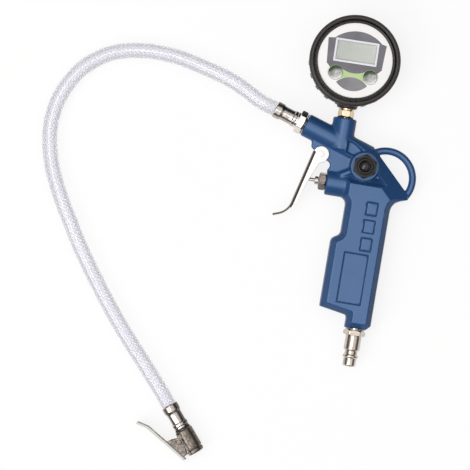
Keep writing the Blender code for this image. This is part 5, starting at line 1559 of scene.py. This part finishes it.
@dataclass
class Hose(SubAssembly):
    """The clear braided hose between its ferrules, and the ferrules."""

    diameter: float = 12.4
    net: float = 11.2
    length: float = 453.0
    ferrule_length: float = 18.0
    near_foot: float = 8.1
    far_foot: float = 0.3
    columns: int = 48
    spans: int = 12
    route: tuple[Spot, ...] = (
        (-75.198, 32.950, 13.0), (-86.991, 36.782, 13.0), (-109.92, 48.30, 9.88), (-133.19, 55.27, 7.82),
        (-157.86, 60.39, 6.74), (-183.17, 60.69, 6.6), (-207.40, 54.40, 6.6), (-227.42, 39.09, 6.6),
        (-239.93, 17.17, 6.6), (-244.06, -7.12, 6.6), (-239.81, -32.47, 6.6), (-230.17, -55.81, 6.6),
        (-217.76, -77.59, 6.6), (-204.64, -98.91, 6.6), (-190.14, -119.63, 6.6), (-174.83, -139.92, 6.6),
        (-158.89, -159.24, 6.6), (-141.99, -178.13, 6.74), (-126.02, -196.38, 7.4), (-118.131, -205.948, 7.4),
    )

    def centreline(self) -> Array:
        """A smooth line through the route.

        Between points B and C, with A before and D after, it is half of
        2B + (C - A) t + (2A - 5B + 4C - D) t^2 + (3B - A - 3C + D) t^3.

        Returns:
            The points in millimetres, a few to each span of the route.
        """
        points = np.array(self.route)
        first, last = 2 * points[0] - points[1], 2 * points[-1] - points[-2]
        full = np.concatenate((first[None], points, last[None]))
        a, b, c, d = (full[i:len(full) - 3 + i][:, None] for i in range(4))
        t = np.linspace(0, 1, self.spans, endpoint=False)[None, :, None]
        line = 0.5 * (2 * b + (c - a) * t + (2 * a - 5 * b + 4 * c - d) * t**2
                      + (3 * b - a - 3 * c + d) * t**3)
        return np.concatenate((line.reshape(-1, 3), points[-1:]))

    def build(self) -> None:
        """Make the wall, the net inside it, the ferrules and the chuck."""
        line = self.centreline()
        wall = self.hand(tube("hose_wall", line, self.diameter / 2, self.columns), HOSE_WALL, Slot.HOSE,
                         Body.GUN, "hose")
        net = self.hand(tube("hose_net", line, self.net / 2, self.columns, 0.3), BRAID, Slot.HOSE, Body.GUN)
        near = self.ferrule("ferrule_at_gun", BARREL, self.near_foot, "ferrule_gun")
        far = self.ferrule("ferrule_at_chuck", CHUCK_BACK, self.far_foot, "ferrule_chuck")
        tail = Chuck().tail_pieces()

    def ferrule(self, name: str, place: Place, low: float, node: str) -> bpy.types.Object:
        """A crimped ferrule: a ring, a waist with eight crimp flats, and a flared end.

        Args:
            name: The piece's name.
            place: The axis that it stands on.
            low: The height of its foot on the axis.
            node: The plain solid that it stands for.

        Returns:
            The piece.
        """
        high = low + self.ferrule_length
        profile = ((3.0, high), (5.9, high), (6.5, high - 0.6), (6.5, high - 5.0), (5.62, high - 7.0),
                   (5.62, low + 2.8), (6.2, low + 2.2), (6.2, low), (3.0, low))

        def crimps(angle: Array, height: Array) -> Array:
            """Shallow marks of the crimping jaws, which fade towards both ends.

            Args:
                angle: The angle round the ferrule.
                height: The height on its axis.

            Returns:
                What is added to the radius.
            """
            jaws = 0.035 * np.cos(8 * angle) + 0.03 * np.cos(3 * angle + 0.5 * height)
            foot = np.clip((height - low - 2.6) / 3.0, 0.0, 1.0)
            return (jaws - 0.08) * foot * np.clip((high - 1.0 - height) / 3.0, 0.0, 1.0)

        look = (NICKEL_TURNED, Slot.NICKEL)
        return self.lathe(name, place, profile, look, node, 0.45, 0.4, 96, swell=crimps)


@dataclass
class Casting(SubAssembly):
    """The cast pistol body under its enamel."""

    voxel: float = 0.475
    rounds: int = 30
    outer: float = 0.06
    keep: float = 0.5
    thick: float = 26.0
    frames: tuple[tuple[float, float, float, float], ...] = (
        (10.6, -31.2, 8.8, 10.6), (10.6, -45.05, 8.8, 10.6), (10.6, -58.9, 8.8, 10.6),
        (4.6, -86.2, 19.0, 39.5))

    def build(self) -> None:
        """Skin and relax the casting: cylinders are drawn true first, frames engraved last."""
        rounds = (TrueRound(BARREL, radius=9.0, low=-54.5, high=-0.9),
                  TrueRound(PORT, radius=9.1, low=10.5, high=33.6),
                  TrueRound(VALVE, radius=9.8, low=-40.0, high=-0.9),
                  TrueRound(BOSS, radius=11.0, low=1.0, high=23.2))
        grooves = tuple(Groove(frame[:2], frame[2:], self.thick) for frame in self.frames)
        soft = Softening(self.voxel, self.rounds, self.outer, self.keep, cylinders=rounds,
                         grooves=grooves)
        self.hand(soft.run("gun_body", "pistol_casting"), ENAMEL, Slot.ENAMEL, Body.GUN, "gun_body")


@dataclass
class Trigger(SubAssembly):
    """The pressed lever, its pin, and the nut, collar and stem that it pushes."""

    voxel: float = 0.24
    rounds: int = 6
    nut_across: float = 12.2

    def build(self) -> None:
        """Make the lever and its pin."""
        fold = Bend(PIVOT, lean=-14.0, face=(-6.8, 0.2), way=0.0, half=6.7, radius=4.0, sheet=1.3,
                    low=-60.0, high=0.3, curl=(13.0, -43.0, 56.0))
        soft = Softening(self.voxel, self.rounds, outer=0.3, bends=(fold,))
        lever = soft.run("trigger_lever", "lever_pressing")
        self.hand(lever, LEVER_CHROME, Slot.CHROME, Body.TRIGGER, "trigger_lever")
        head = ((0.0, 7.35), (1.3, 7.3), (2.1, 7.2), (2.7, 7.0), (1.6, 7.0), (1.6, -7.0), (2.7, -7.0),
                (2.1, -7.2), (1.3, -7.3), (0.0, -7.35))
        self.lathe("lever_rivet", PIVOT, head, (CHROME, Slot.CHROME), "trigger_pin", 0.25, columns=48,
                   closed=False)
        nut = ((1.8, 5.7), (5.2, 5.7), (6.1, 5.4), (7.05, 4.8), (7.05, 1.2), (6.1, 0.3), (5.3, 0.3),
               (5.3, -4.5), (1.8, -4.5))
        self.lathe("gland_nut", VALVE, nut, (NUT_NICKEL, Slot.CHROME), "valve_nut", step=0.25,
                   limit=sided(self.nut_across, 0.2, 5.8, first=14.0))
        collar = ((1.8, 8.7), (2.9, 8.7), (3.3, 8.3), (3.3, 6.0), (1.8, 6.0))
        self.lathe("stem_guide", VALVE, collar, (CHROME_TURNED, Slot.CHROME), "stem_collar", columns=64)
        stem = ((0.0, 17.33), (0.9, 17.33), (1.4, 16.63), (1.4, -13.8), (4.2, -13.8), (4.2, -16.8),
                (0.0, -16.8))
        self.lathe("push_stem", VALVE, stem, (CHROME_TURNED, Slot.CHROME), "valve_stem", 0.25, columns=48,
                   closed=False, body=Body.STEM)
        self.dress(BRASS, "valve_seat")
        self.dress(SEAL, "poppet_seal")
        self.dress(STEEL, "valve_spring")


@dataclass
class ReleaseValve(SubAssembly):
    """The black deflation valve on the boss, with its push button."""

    across: float = 16.6

    def build(self) -> None:
        """Make the hexagonal body and the button."""
        body = ((4.4, 30.2), (5.7, 30.2), (6.4, 29.5), (6.4, 28.0), (8.3, 28.0), (9.5, 27.25), (9.5, 24.4),
                (8.6, 23.8), (5.6, 23.8), (5.6, 14.5), (1.6, 14.5), (1.6, 19.7), (4.4, 19.7))
        self.lathe("deflator_body", BOSS, body, (DEFLATOR, Slot.BLACK), "release_valve_body", 0.35, 0.3,
                   limit=sided(self.across, 23.7, 28.05, first=30.0))
        dome = ((0.0, 33.2), (1.5, 33.04), (2.83, 32.55), (3.7, 31.8), (4.0, 31.0), (4.0, 26.0), (1.2, 26.0),
                (1.2, 14.2), (2.4, 14.2), (2.4, 13.0), (0.0, 13.0))
        self.lathe("deflator_button", BOSS, dome, (DEFLATOR_GLOSS, Slot.BLACK), "release_button", 0.5,
                   columns=72, closed=False, body=Body.RELEASE)
        self.dress(STEEL, "release_spring")


@dataclass
class Gauge(SubAssembly):
    """The digital gauge, screwed home a little askew: boot, bezel, dial, display and keys."""

    boot_radius: float = 34.9
    side_radius: float = 33.6
    ribs: int = 21
    rib_arc: float = 6.5
    rib_stands: float = 1.0
    rib_from: float = 3.0
    rib_to: float = 21.0
    dial_z: float = 33.5
    dial_back: float = 31.5
    dial_radius: float = 29.0
    glass: Point = (25.8, 32.6)
    cover: Point = (32.75, 33.5)
    gap: float = 0.3
    window: Point = (30.5, 15.0)
    window_up: float = 6.4
    frame: float = 1.4
    key_apart: float = 26.6
    key_down: float = 11.2
    key_radius: float = 5.4
    film: float = 0.05
    neck_across: float = 11.0
    lean: float = 0.75
    foot: Point = (-20.6, 34.6)

    def build(self) -> None:
        """Make the gauge from its boot to its keys."""
        self.boot()
        self.case()
        self.bezel()
        self.dial()
        self.print()
        self.display()
        self.keys()
        self.neck()
        self.dress(CELL_NICKEL, "battery_cell")
        self.dress(STEEL, "battery_clip", "pressure_sensor")
        self.dress(BOARD, "circuit_board")

    def askew(self, points: Array) -> Array:
        """Turn points in plan about the gauge's foot by its lean.

        Args:
            points: The points in millimetres; their first two columns are turned.

        Returns:
            The turned points.
        """
        turn = math.radians(self.lean)
        off = points[..., :2] - np.array(self.foot)
        spun = np.stack((off[..., 0] * math.cos(turn) - off[..., 1] * math.sin(turn),
                         off[..., 0] * math.sin(turn) + off[..., 1] * math.cos(turn)), axis=-1)
        return np.concatenate((spun + np.array(self.foot), points[..., 2:]), axis=-1)

    def spot(self, x: float, y: float) -> Point:
        """Where a point of the dial lies in the row frame."""
        return tuple(self.askew(np.array((DIAL.base[0] + x, DIAL.base[1] + y))).tolist())

    def place(self, obj: bpy.types.Object, finish: Finish, slot: Slot, *nodes: str,
              body: Body = Body.GUN) -> None:
        """Set a piece of the gauge askew, and hand it over.

        Args:
            obj: The piece, made upright.
            finish: Its material.
            slot: The record's slot.
            *nodes: The plain solids that it stands for.
            body: What it moves with.
        """
        Softening.put(obj.data, self.askew(Softening.points(obj.data)))
        self.hand(obj, finish, slot, body, *nodes)

    def rib_swell(self, angle: Array, height: Array) -> Array:
        """How far a rib stands out: a step with soft flanks in the angle and in the height.

        Args:
            angle: The angle round the boot.
            height: The height on it.

        Returns:
            The rib's height above the side.
        """
        pitch = 360.0 / self.ribs
        off = np.abs(np.mod(np.degrees(angle) + pitch / 2, pitch) - pitch / 2)
        across = np.clip((self.rib_arc / 2 - off) / 0.8 + 0.5, 0, 1)
        ends = np.clip(np.minimum(height - self.rib_from, self.rib_to - height) / 0.8 + 0.5, 0, 1)
        return self.rib_stands * across**2 * (3 - 2 * across) * ends**2 * (3 - 2 * ends)

    def boot(self) -> None:
        """The rubber boot with its rounded rim, ribs and neck sleeve."""
        r, s = self.boot_radius, self.side_radius
        profile = ((31.6, 35.1), (32.3, 35.5), (33.0, 35.5), (34.2, 35.0), (r, 33.6), (r, 27.4), (s, 26.0),
                   (s, 2.0), (33.0, 0.6), (31.6, 0.0), (20.0, 0.0), (20.0, 2.2), (31.3, 2.2), (31.3, 34.6))
        line = denser(rounded(profile, 0.8, True), 1.2, True)
        mask = (line[:, 0] > s - 0.4)[:, None].astype(float)
        boot = turned("boot_moulding", line, DIAL, True, self.ribs * 20, None,
                      lambda angle, height: self.rib_swell(angle, height) * mask)
        sleeve = ((4.9, 42.3), (7.2, 42.3), (7.8, 42.9), (7.8, 44.0), (9.6, 47.0), (4.9, 47.0))
        collar = turned("boot_sleeve", rounded(sleeve, 0.6, True), PORT, True, 72)
        self.place(boot, RUBBER, Slot.RUBBER, "gauge_boot")
        self.place(collar, RUBBER, Slot.RUBBER)

    def case(self) -> None:
        """The grey case inside the boot, and the battery cover with its coin slot."""
        profile = ((29.0, 31.2), (31.0, 31.2), (31.0, 2.5), (14.8, 2.5), (14.8, 4.5), (29.0, 4.5))
        line = denser(rounded(profile, 0.3, True), 3.0, True)
        self.place(turned("case_shell", line, DIAL, True, 144), GREY, Slot.GREY, "gauge_case")
        cover = Softening(voxel=0.25, rounds=5, outer=0.5).run("battery_cover", "coin_cover")
        self.place(cover, COVER_BLACK, Slot.BLACK, "battery_cover")

    def bezel(self) -> None:
        """The ring that clamps the dial."""
        profile = ((29.3, 33.8), (28.6, 33.8), (28.6, 34.4), (29.2, 34.9), (29.6, 34.75), (30.1, 35.1),
                   (30.5, 34.7), (30.5, 31.5), (29.3, 31.5))
        ring = turned("bezel_ring", rounded(profile, 0.25, True), DIAL, True, 192)
        self.place(ring, BEZEL_BLACK, Slot.BLACK, "bezel")

    @staticmethod
    def local(points: Array) -> Array:
        """Carry points from the dial's centre to the row frame."""
        return points + np.array(DIAL.base[:2])

    def key_centres(self) -> tuple[Point, Point]:
        """The middles of the keys, from the dial's centre."""
        return (-self.key_apart / 2, -self.key_down), (self.key_apart / 2, -self.key_down)

    def window_edge(self, more: float, corner: float) -> Array:
        """The window's rectangle, wider and taller by so much, from the dial's centre."""
        return rectangle((0.0, self.window_up), self.window[0] + more, self.window[1] + more, corner)

    def dial(self) -> None:
        """The white dial with its window and its two key holes."""
        window = self.window_edge(2 * self.frame + 2 * self.gap, 0.5)
        keys = [circle(centre, self.key_radius + 0.12) for centre in self.key_centres()]
        disc = slab("dial_disc", self.local(circle((0.0, 0.0), self.dial_radius, 160)), self.dial_back,
                    self.dial_z, [self.local(edge) for edge in (window, *keys)])
        spots = tuple(self.spot(*centre) for centre in self.key_centres())
        face = DialFace("dial_face", spots, self.key_radius)
        self.place(disc, face, Slot.WHITE, "dial_panel")

    def print(self) -> None:
        """The films printed on the dial: the panel, the lens under it and the band between."""
        window = self.window_edge(2 * self.frame, 0.4)
        left = arc_points((-17.95, -7.85), (-13.6, -5.45), (-9.4, -7.1), 14)
        right = arc_points((9.4, -7.1), (13.6, -5.45), (17.95, -7.85), 14)
        panel = np.concatenate((
            ((-22.6, 14.6), (-21.2, -4.6)), left, arc_points((-7.8, -8.3), (0.2, -9.9), (7.8, -8.3)), right,
            ((21.2, -4.6), (22.3, 14.4)), arc_points((18.6, 15.2), (0.5, 22.3), (-17.6, 15.2), 40)))
        lens = np.concatenate((arc_points((-11.9, -18.1), (0.0, -23.5), (12.0, -18.1)),
                               arc_points((12.0, -18.1), (0.0, -13.0), (-11.9, -18.1))[1:-1]))
        band = np.concatenate((arc_points((-8.6, -8.2), (0.2, -9.96), (8.6, -8.2)),
                               arc_points((8.4, -15.1), (0.0, -12.94), (-8.4, -15.1))))
        low, high = self.dial_z + 0.01, self.dial_z + self.film
        for name, edge, holes, finish in (("print_panel", panel, (window,), PRINT_GREY),
                                          ("print_lens", lens, (), PRINT_LENS),
                                          ("print_band", band, (), PRINT_GREEN)):
            film = slab(name, self.local(edge), low, high, [self.local(hole) for hole in holes])
            self.place(film, finish, Slot.WHITE)

    def display(self) -> None:
        """The display, its raised frame and the clear window over it."""
        outer, hole, glass, cover = (self.local(self.window_edge(more, corner)) for more, corner in (
            (2 * self.frame, 0.4), (0.0, 0.3), (-0.06, 0.3), (-0.08, 0.3)))
        frame = slab("display_surround", outer, self.glass[0], self.dial_z + 0.5, [hole])
        bevel = frame.modifiers.new("edge", "BEVEL")
        bevel.width, bevel.segments, bevel.limit_method, bevel.angle_limit = 0.18 * MM, 3, "ANGLE", 0.9
        self.place(frame, PALE, Slot.PALE, "display_frame")
        wide, tall = self.window
        face = DisplayFace("display_face", self.spot(0.0, self.window_up), (wide / 2, tall / 2))
        self.place(slab("display_glass", glass, *self.glass), face, Slot.DISPLAY, "lcd_module")
        self.place(slab("display_window", cover, *self.cover), LENS, Slot.CLEAR, "lcd_window")

    def keys(self) -> None:
        """The two dished keys, with the rubber domes under them."""
        r = self.key_radius
        profile = ((0.0, 33.7), (r / 2, 33.9), (r - 0.9, 34.45), (r - 0.3, 34.45), (r, 34.0), (r, 31.2),
                   (r + 0.9, 31.2), (r + 0.9, 30.3), (0.0, 30.3))
        for name, centre, body in zip(("left", "right"), self.key_centres(), (Body.KEY_LEFT, Body.KEY_RIGHT)):
            place = Place((DIAL.base[0] + centre[0], DIAL.base[1] + centre[1], 0.0))
            key = turned(f"key_cap_{name}", denser(rounded(profile, 0.4), 0.5), place, False, 72)
            face = KeyFace(f"key_face_{name}", self.spot(*centre), r)
            self.place(key, face, Slot.NICKEL, f"key_{name}", body=body)
            self.dress(RUBBER, f"key_dome_{name}")

    def neck(self) -> None:
        """The brass neck with its hexagon and bright collar, and the seal under it."""
        profile = ((1.6, 51.7), (4.6, 51.7), (4.6, 42.0), (6.2, 42.0), (6.2, 40.9), (5.6, 40.4), (6.4, 39.8),
                   (6.4, 36.4), (5.6, 35.8), (4.6, 35.8), (4.6, 27.6), (1.6, 27.6))
        self.lathe("neck_union", PORT, profile, (BRASS_TURNED, Slot.BRASS), "gauge_neck", 0.25, 0.25,
                   limit=sided(self.neck_across, 35.7, 40.45))
        self.dress(SEAL, "neck_seal")


@dataclass
class AirPlug(SubAssembly):
    """The quick-release plug at the foot of the grip."""

    across: float = 15.0

    def build(self) -> None:
        """Turn the plug and dress its washer."""
        profile = ((3.4, 29.3), (4.3, 29.3), (5.0, 28.4), (5.0, 22.9), (6.0, 22.1), (6.0, 20.9), (4.9, 20.0),
                   (4.9, 17.2), (6.2, 16.2), (6.2, 6.0), (6.0, 5.2), (7.6, 5.2), (8.6, 4.6), (8.6, 2.0),
                   (7.6, 1.4), (4.7, 1.4), (4.7, -9.0), (3.4, -9.0))
        self.lathe("plug_turning", INLET, profile, (PLUG_NICKEL, Slot.NICKEL), "air_plug", step=0.3,
                   limit=sided(self.across, 1.3, 5.25))
        self.dress(WASHER, "plug_washer")


@dataclass
class HoseFitting(SubAssembly):
    """The hexagonal fitting that joins the hose to the barrel."""

    across: float = 16.0

    def build(self) -> None:
        """Turn the fitting and dress its seal."""
        profile = ((1.6, 21.1), (2.7, 21.1), (2.7, 7.95), (6.3, 7.95), (6.3, 6.4), (8.0, 6.4), (9.15, 5.8),
                   (9.15, 2.0), (8.0, 1.4), (4.6, 1.4), (4.6, -9.0), (1.6, -9.0))
        self.lathe("barrel_fitting", BARREL, profile, (FITTING_NICKEL, Slot.NICKEL), "hose_fitting", step=0.3,
                   limit=sided(self.across, 1.3, 6.45))
        self.dress(SEAL, "fitting_seal")


@dataclass
class Chuck(SubAssembly):
    """The clip-on chuck: body, lever, pin, spring, grommet and tail."""

    voxel: float = 0.2
    clip_lean: float = 2.6

    def tail_pieces(self) -> list[bpy.types.Object]:
        """Make the pieces of the chuck, which all lie on the hose.

        Returns:
            The new pieces and the plain solids that stay in sight.
        """
        axis = TrueRound(CHUCK, radius=7.0, low=3.9, high=19.3, inside=0.12)
        lip = TrueRound(CHUCK, radius=6.7, low=20.6, high=22.6, inside=0.12)
        cast = Softening(self.voxel, rounds=5, outer=0.3, keep=0.6, cylinders=(axis, lip))
        body = cast.run("chuck_body", "chuck_shell")
        fold = Bend(CLIP_PIVOT, lean=-50.5, face=(14.0, -2.4), way=108.5, half=4.9, radius=1.6, sheet=1.0,
                    low=-9.6, high=60.0)
        lever = Softening(self.voxel, rounds=4, outer=0.3, bends=(fold,)).run("chuck_lever", "chuck_clip")
        Softening.put(lever.data, fold.slant(Softening.points(lever.data), self.clip_lean))
        pin = ((0.0, 6.0), (1.7, 6.0), (2.04, 5.3), (1.2, 5.2), (1.2, -5.2), (2.04, -5.3), (1.7, -6.0),
               (0.0, -6.0))
        tail = ((1.4, 8.0), (4.0, 8.0), (4.0, 1.5), (5.9, 1.5), (5.9, 0.0), (2.7, 0.0), (2.7, -13.0),
                (1.4, -13.0))
        turned_pin = turned("chuck_rivet", rounded(pin, 0.25), CLIP_PIVOT, False, 48)
        turned_tail = turned("chuck_barb", rounded(tail, 0.25, True), CHUCK, True, 72)
        made = [
            self.hand(body, CHUCK_NICKEL, Slot.NICKEL, Body.GUN, "chuck_body"),
            self.hand(lever, CLIP_NICKEL, Slot.NICKEL, Body.CLIP, "chuck_lever"),
            self.hand(turned_pin, CLIP_NICKEL, Slot.CHROME, Body.GUN, "chuck_lever_pin"),
            self.hand(turned_tail, NICKEL_TURNED, Slot.NICKEL, Body.GUN, "chuck_tail"),
        ]
        self.dress(SEAL, "tail_seal", "chuck_grommet")
        self.dress(BRASS, "chuck_depressor")
        self.dress(STEEL, "chuck_spring")
        kept = ("tail_seal", "chuck_grommet", "chuck_depressor", "chuck_spring")
        return made + [bpy.data.objects[name] for name in kept]


# ------------------------------------------------------------------ studio
@dataclass(frozen=True)
class Softbox:
    """One soft lamp: where it hangs, what it points at, its size and its power."""

    name: str
    at: Spot
    aim: Spot
    size: float
    power: float

    def hang(self) -> None:
        """Put the lamp in the scene and turn it to its aim."""
        light = bpy.data.lights.new(self.name, "AREA")
        light.shape, light.size, light.energy = "SQUARE", self.size, self.power
        obj = linked(self.name, light)
        obj.location = self.at
        obj.rotation_euler = (Vector(self.aim) - Vector(self.at)).to_track_quat("-Z", "Y").to_euler()


@dataclass
class Studio:
    """The camera, the lamps, the surroundings and the floor."""

    camera_at: Spot = (-0.0895, -0.0681, 2.013)
    camera_roll: float = 9.5
    lens: float = 198.9
    sensor: float = 36.0
    farthest: float = 20.0
    floor_size: float = 4.0
    floor_lines: int = 5
    floor_at: Spot = (-0.09, -0.06, -0.0002)
    floor_glow: float = 0.82
    lamps: tuple[Softbox, ...] = (
        Softbox("top_box", (-0.66, -0.08, 2.4), (-0.66, -0.08, 0.0), 0.94, 13.0),
        Softbox("key_box", (-1.5, -1.4, 1.9), (-0.09, -0.06, 0.0), 1.3, 20.0),
    )
    sky: tuple[tuple[float, Colour], ...] = (
        (0.0, (0.20, 0.18, 0.17)), (0.25, (0.10, 0.088, 0.08)), (0.58, (0.16, 0.145, 0.135)),
        (0.76, (1.08, 1.07, 1.06)), (0.90, (1.10, 1.10, 1.10)))
    bounce: Colour = (0.38, 0.375, 0.37)
    backdrop: Colour = (0.93, 0.93, 0.94)
    bench: tuple[Colour, Colour] = ((0.93, 0.93, 0.93), (0.945, 0.945, 0.945))

    def camera(self) -> None:
        """Set the camera straight above, rolled to the object's lie."""
        data = bpy.data.cameras.new("camera")
        data.lens, data.sensor_width, data.clip_end = self.lens, self.sensor, self.farthest
        obj = linked("camera", data)
        obj.location = self.camera_at
        obj.rotation_euler = (0.0, 0.0, math.radians(self.camera_roll))
        bpy.context.scene.camera = obj

    def world(self) -> None:
        """Pale surroundings, with a darker band low down that shows in the metal."""
        world = bpy.data.worlds.new("studio")
        world.use_nodes = True
        bpy.context.scene.world = world
        nodes, links = world.node_tree.nodes, world.node_tree.links
        split = nodes.new("ShaderNodeSeparateXYZ")
        links.new(nodes.new("ShaderNodeTexCoord").outputs["Generated"], split.inputs[0])
        ramp = nodes.new("ShaderNodeValToRGB")
        links.new(split.outputs["Z"], ramp.inputs[0])
        while len(ramp.color_ramp.elements) < len(self.sky):
            ramp.color_ramp.elements.new(0.5)
        for element, (at, colour) in zip(ramp.color_ramp.elements, self.sky):
            element.position, element.color = at, (*colour, 1.0)
        path = nodes.new("ShaderNodeLightPath")
        plain = nodes.new("ShaderNodeMix")
        plain.data_type = "RGBA"
        links.new(path.outputs["Is Camera Ray"], plain.inputs["Factor"])
        links.new(ramp.outputs[0], plain.inputs[6])
        plain.inputs[7].default_value = (*self.backdrop, 1.0)
        links.new(plain.outputs[2], nodes["Background"].inputs["Color"])
        nodes["Background"].inputs["Strength"].default_value = 1.0

    def floor(self) -> None:
        """The pale bench that the inflator lies on."""
        half = self.floor_size / 2
        steps = np.linspace(-half, half, self.floor_lines)
        x, y = np.meshgrid(steps + self.floor_at[0], steps + self.floor_at[1])
        points = np.stack((x, y, x * 0 + self.floor_at[2]), axis=-1).reshape(-1, 3)
        count = len(steps)
        row, column = np.meshgrid(np.arange(count - 1), np.arange(count - 1), indexing="ij")
        first = row * count + column
        faces = np.stack((first, first + 1, first + count + 1, first + count), axis=-1).reshape(-1, 4)
        mesh = bpy.data.meshes.new("bench")
        mesh.from_pydata(points.tolist(), [], faces.tolist())
        obj = linked("bench", mesh)
        w = Wiring("bench_white")
        path = w.add("ShaderNodeLightPath")
        seen = w.calc("MAXIMUM", path.outputs["Is Camera Ray"],
                      w.calc("MAXIMUM", path.outputs["Is Glossy Ray"], path.outputs["Is Transmission Ray"]))
        paint = w.blend(w.mottle(3.0, 0.0, 1.0), *self.bench)
        paint = w.blend(path.outputs["Is Diffuse Ray"], paint, self.bounce)
        glow = w.times(seen, self.floor_glow)
        w.set(Base_Color=w.blend(glow, paint, (0.0, 0.0, 0.0)),
              Emission_Color=(1.0, 1.0, 1.0), Emission_Strength=glow,
              Roughness=0.9, Specular_IOR_Level=0.0)
        mesh.materials.append(w.material)

    def build(self) -> None:
        """Set up the whole studio."""
        self.world()
        self.floor()
        for lamp in self.lamps:
            lamp.hang()
        bpy.context.scene.view_settings.view_transform = "Standard"


def main() -> None:
    """Build the studio and every sub-assembly."""
    logging.basicConfig(level=logging.INFO, format="%(message)s")
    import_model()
    studio = Studio()
    studio.camera()
    Hose().build()
    for part in (Casting(), Trigger(), ReleaseValve(), Gauge(), AirPlug(), HoseFitting()):
        LOG.info("-- %s", type(part).__name__)
        part.build()
    studio.build()


if __name__ == "__main__":
    main()
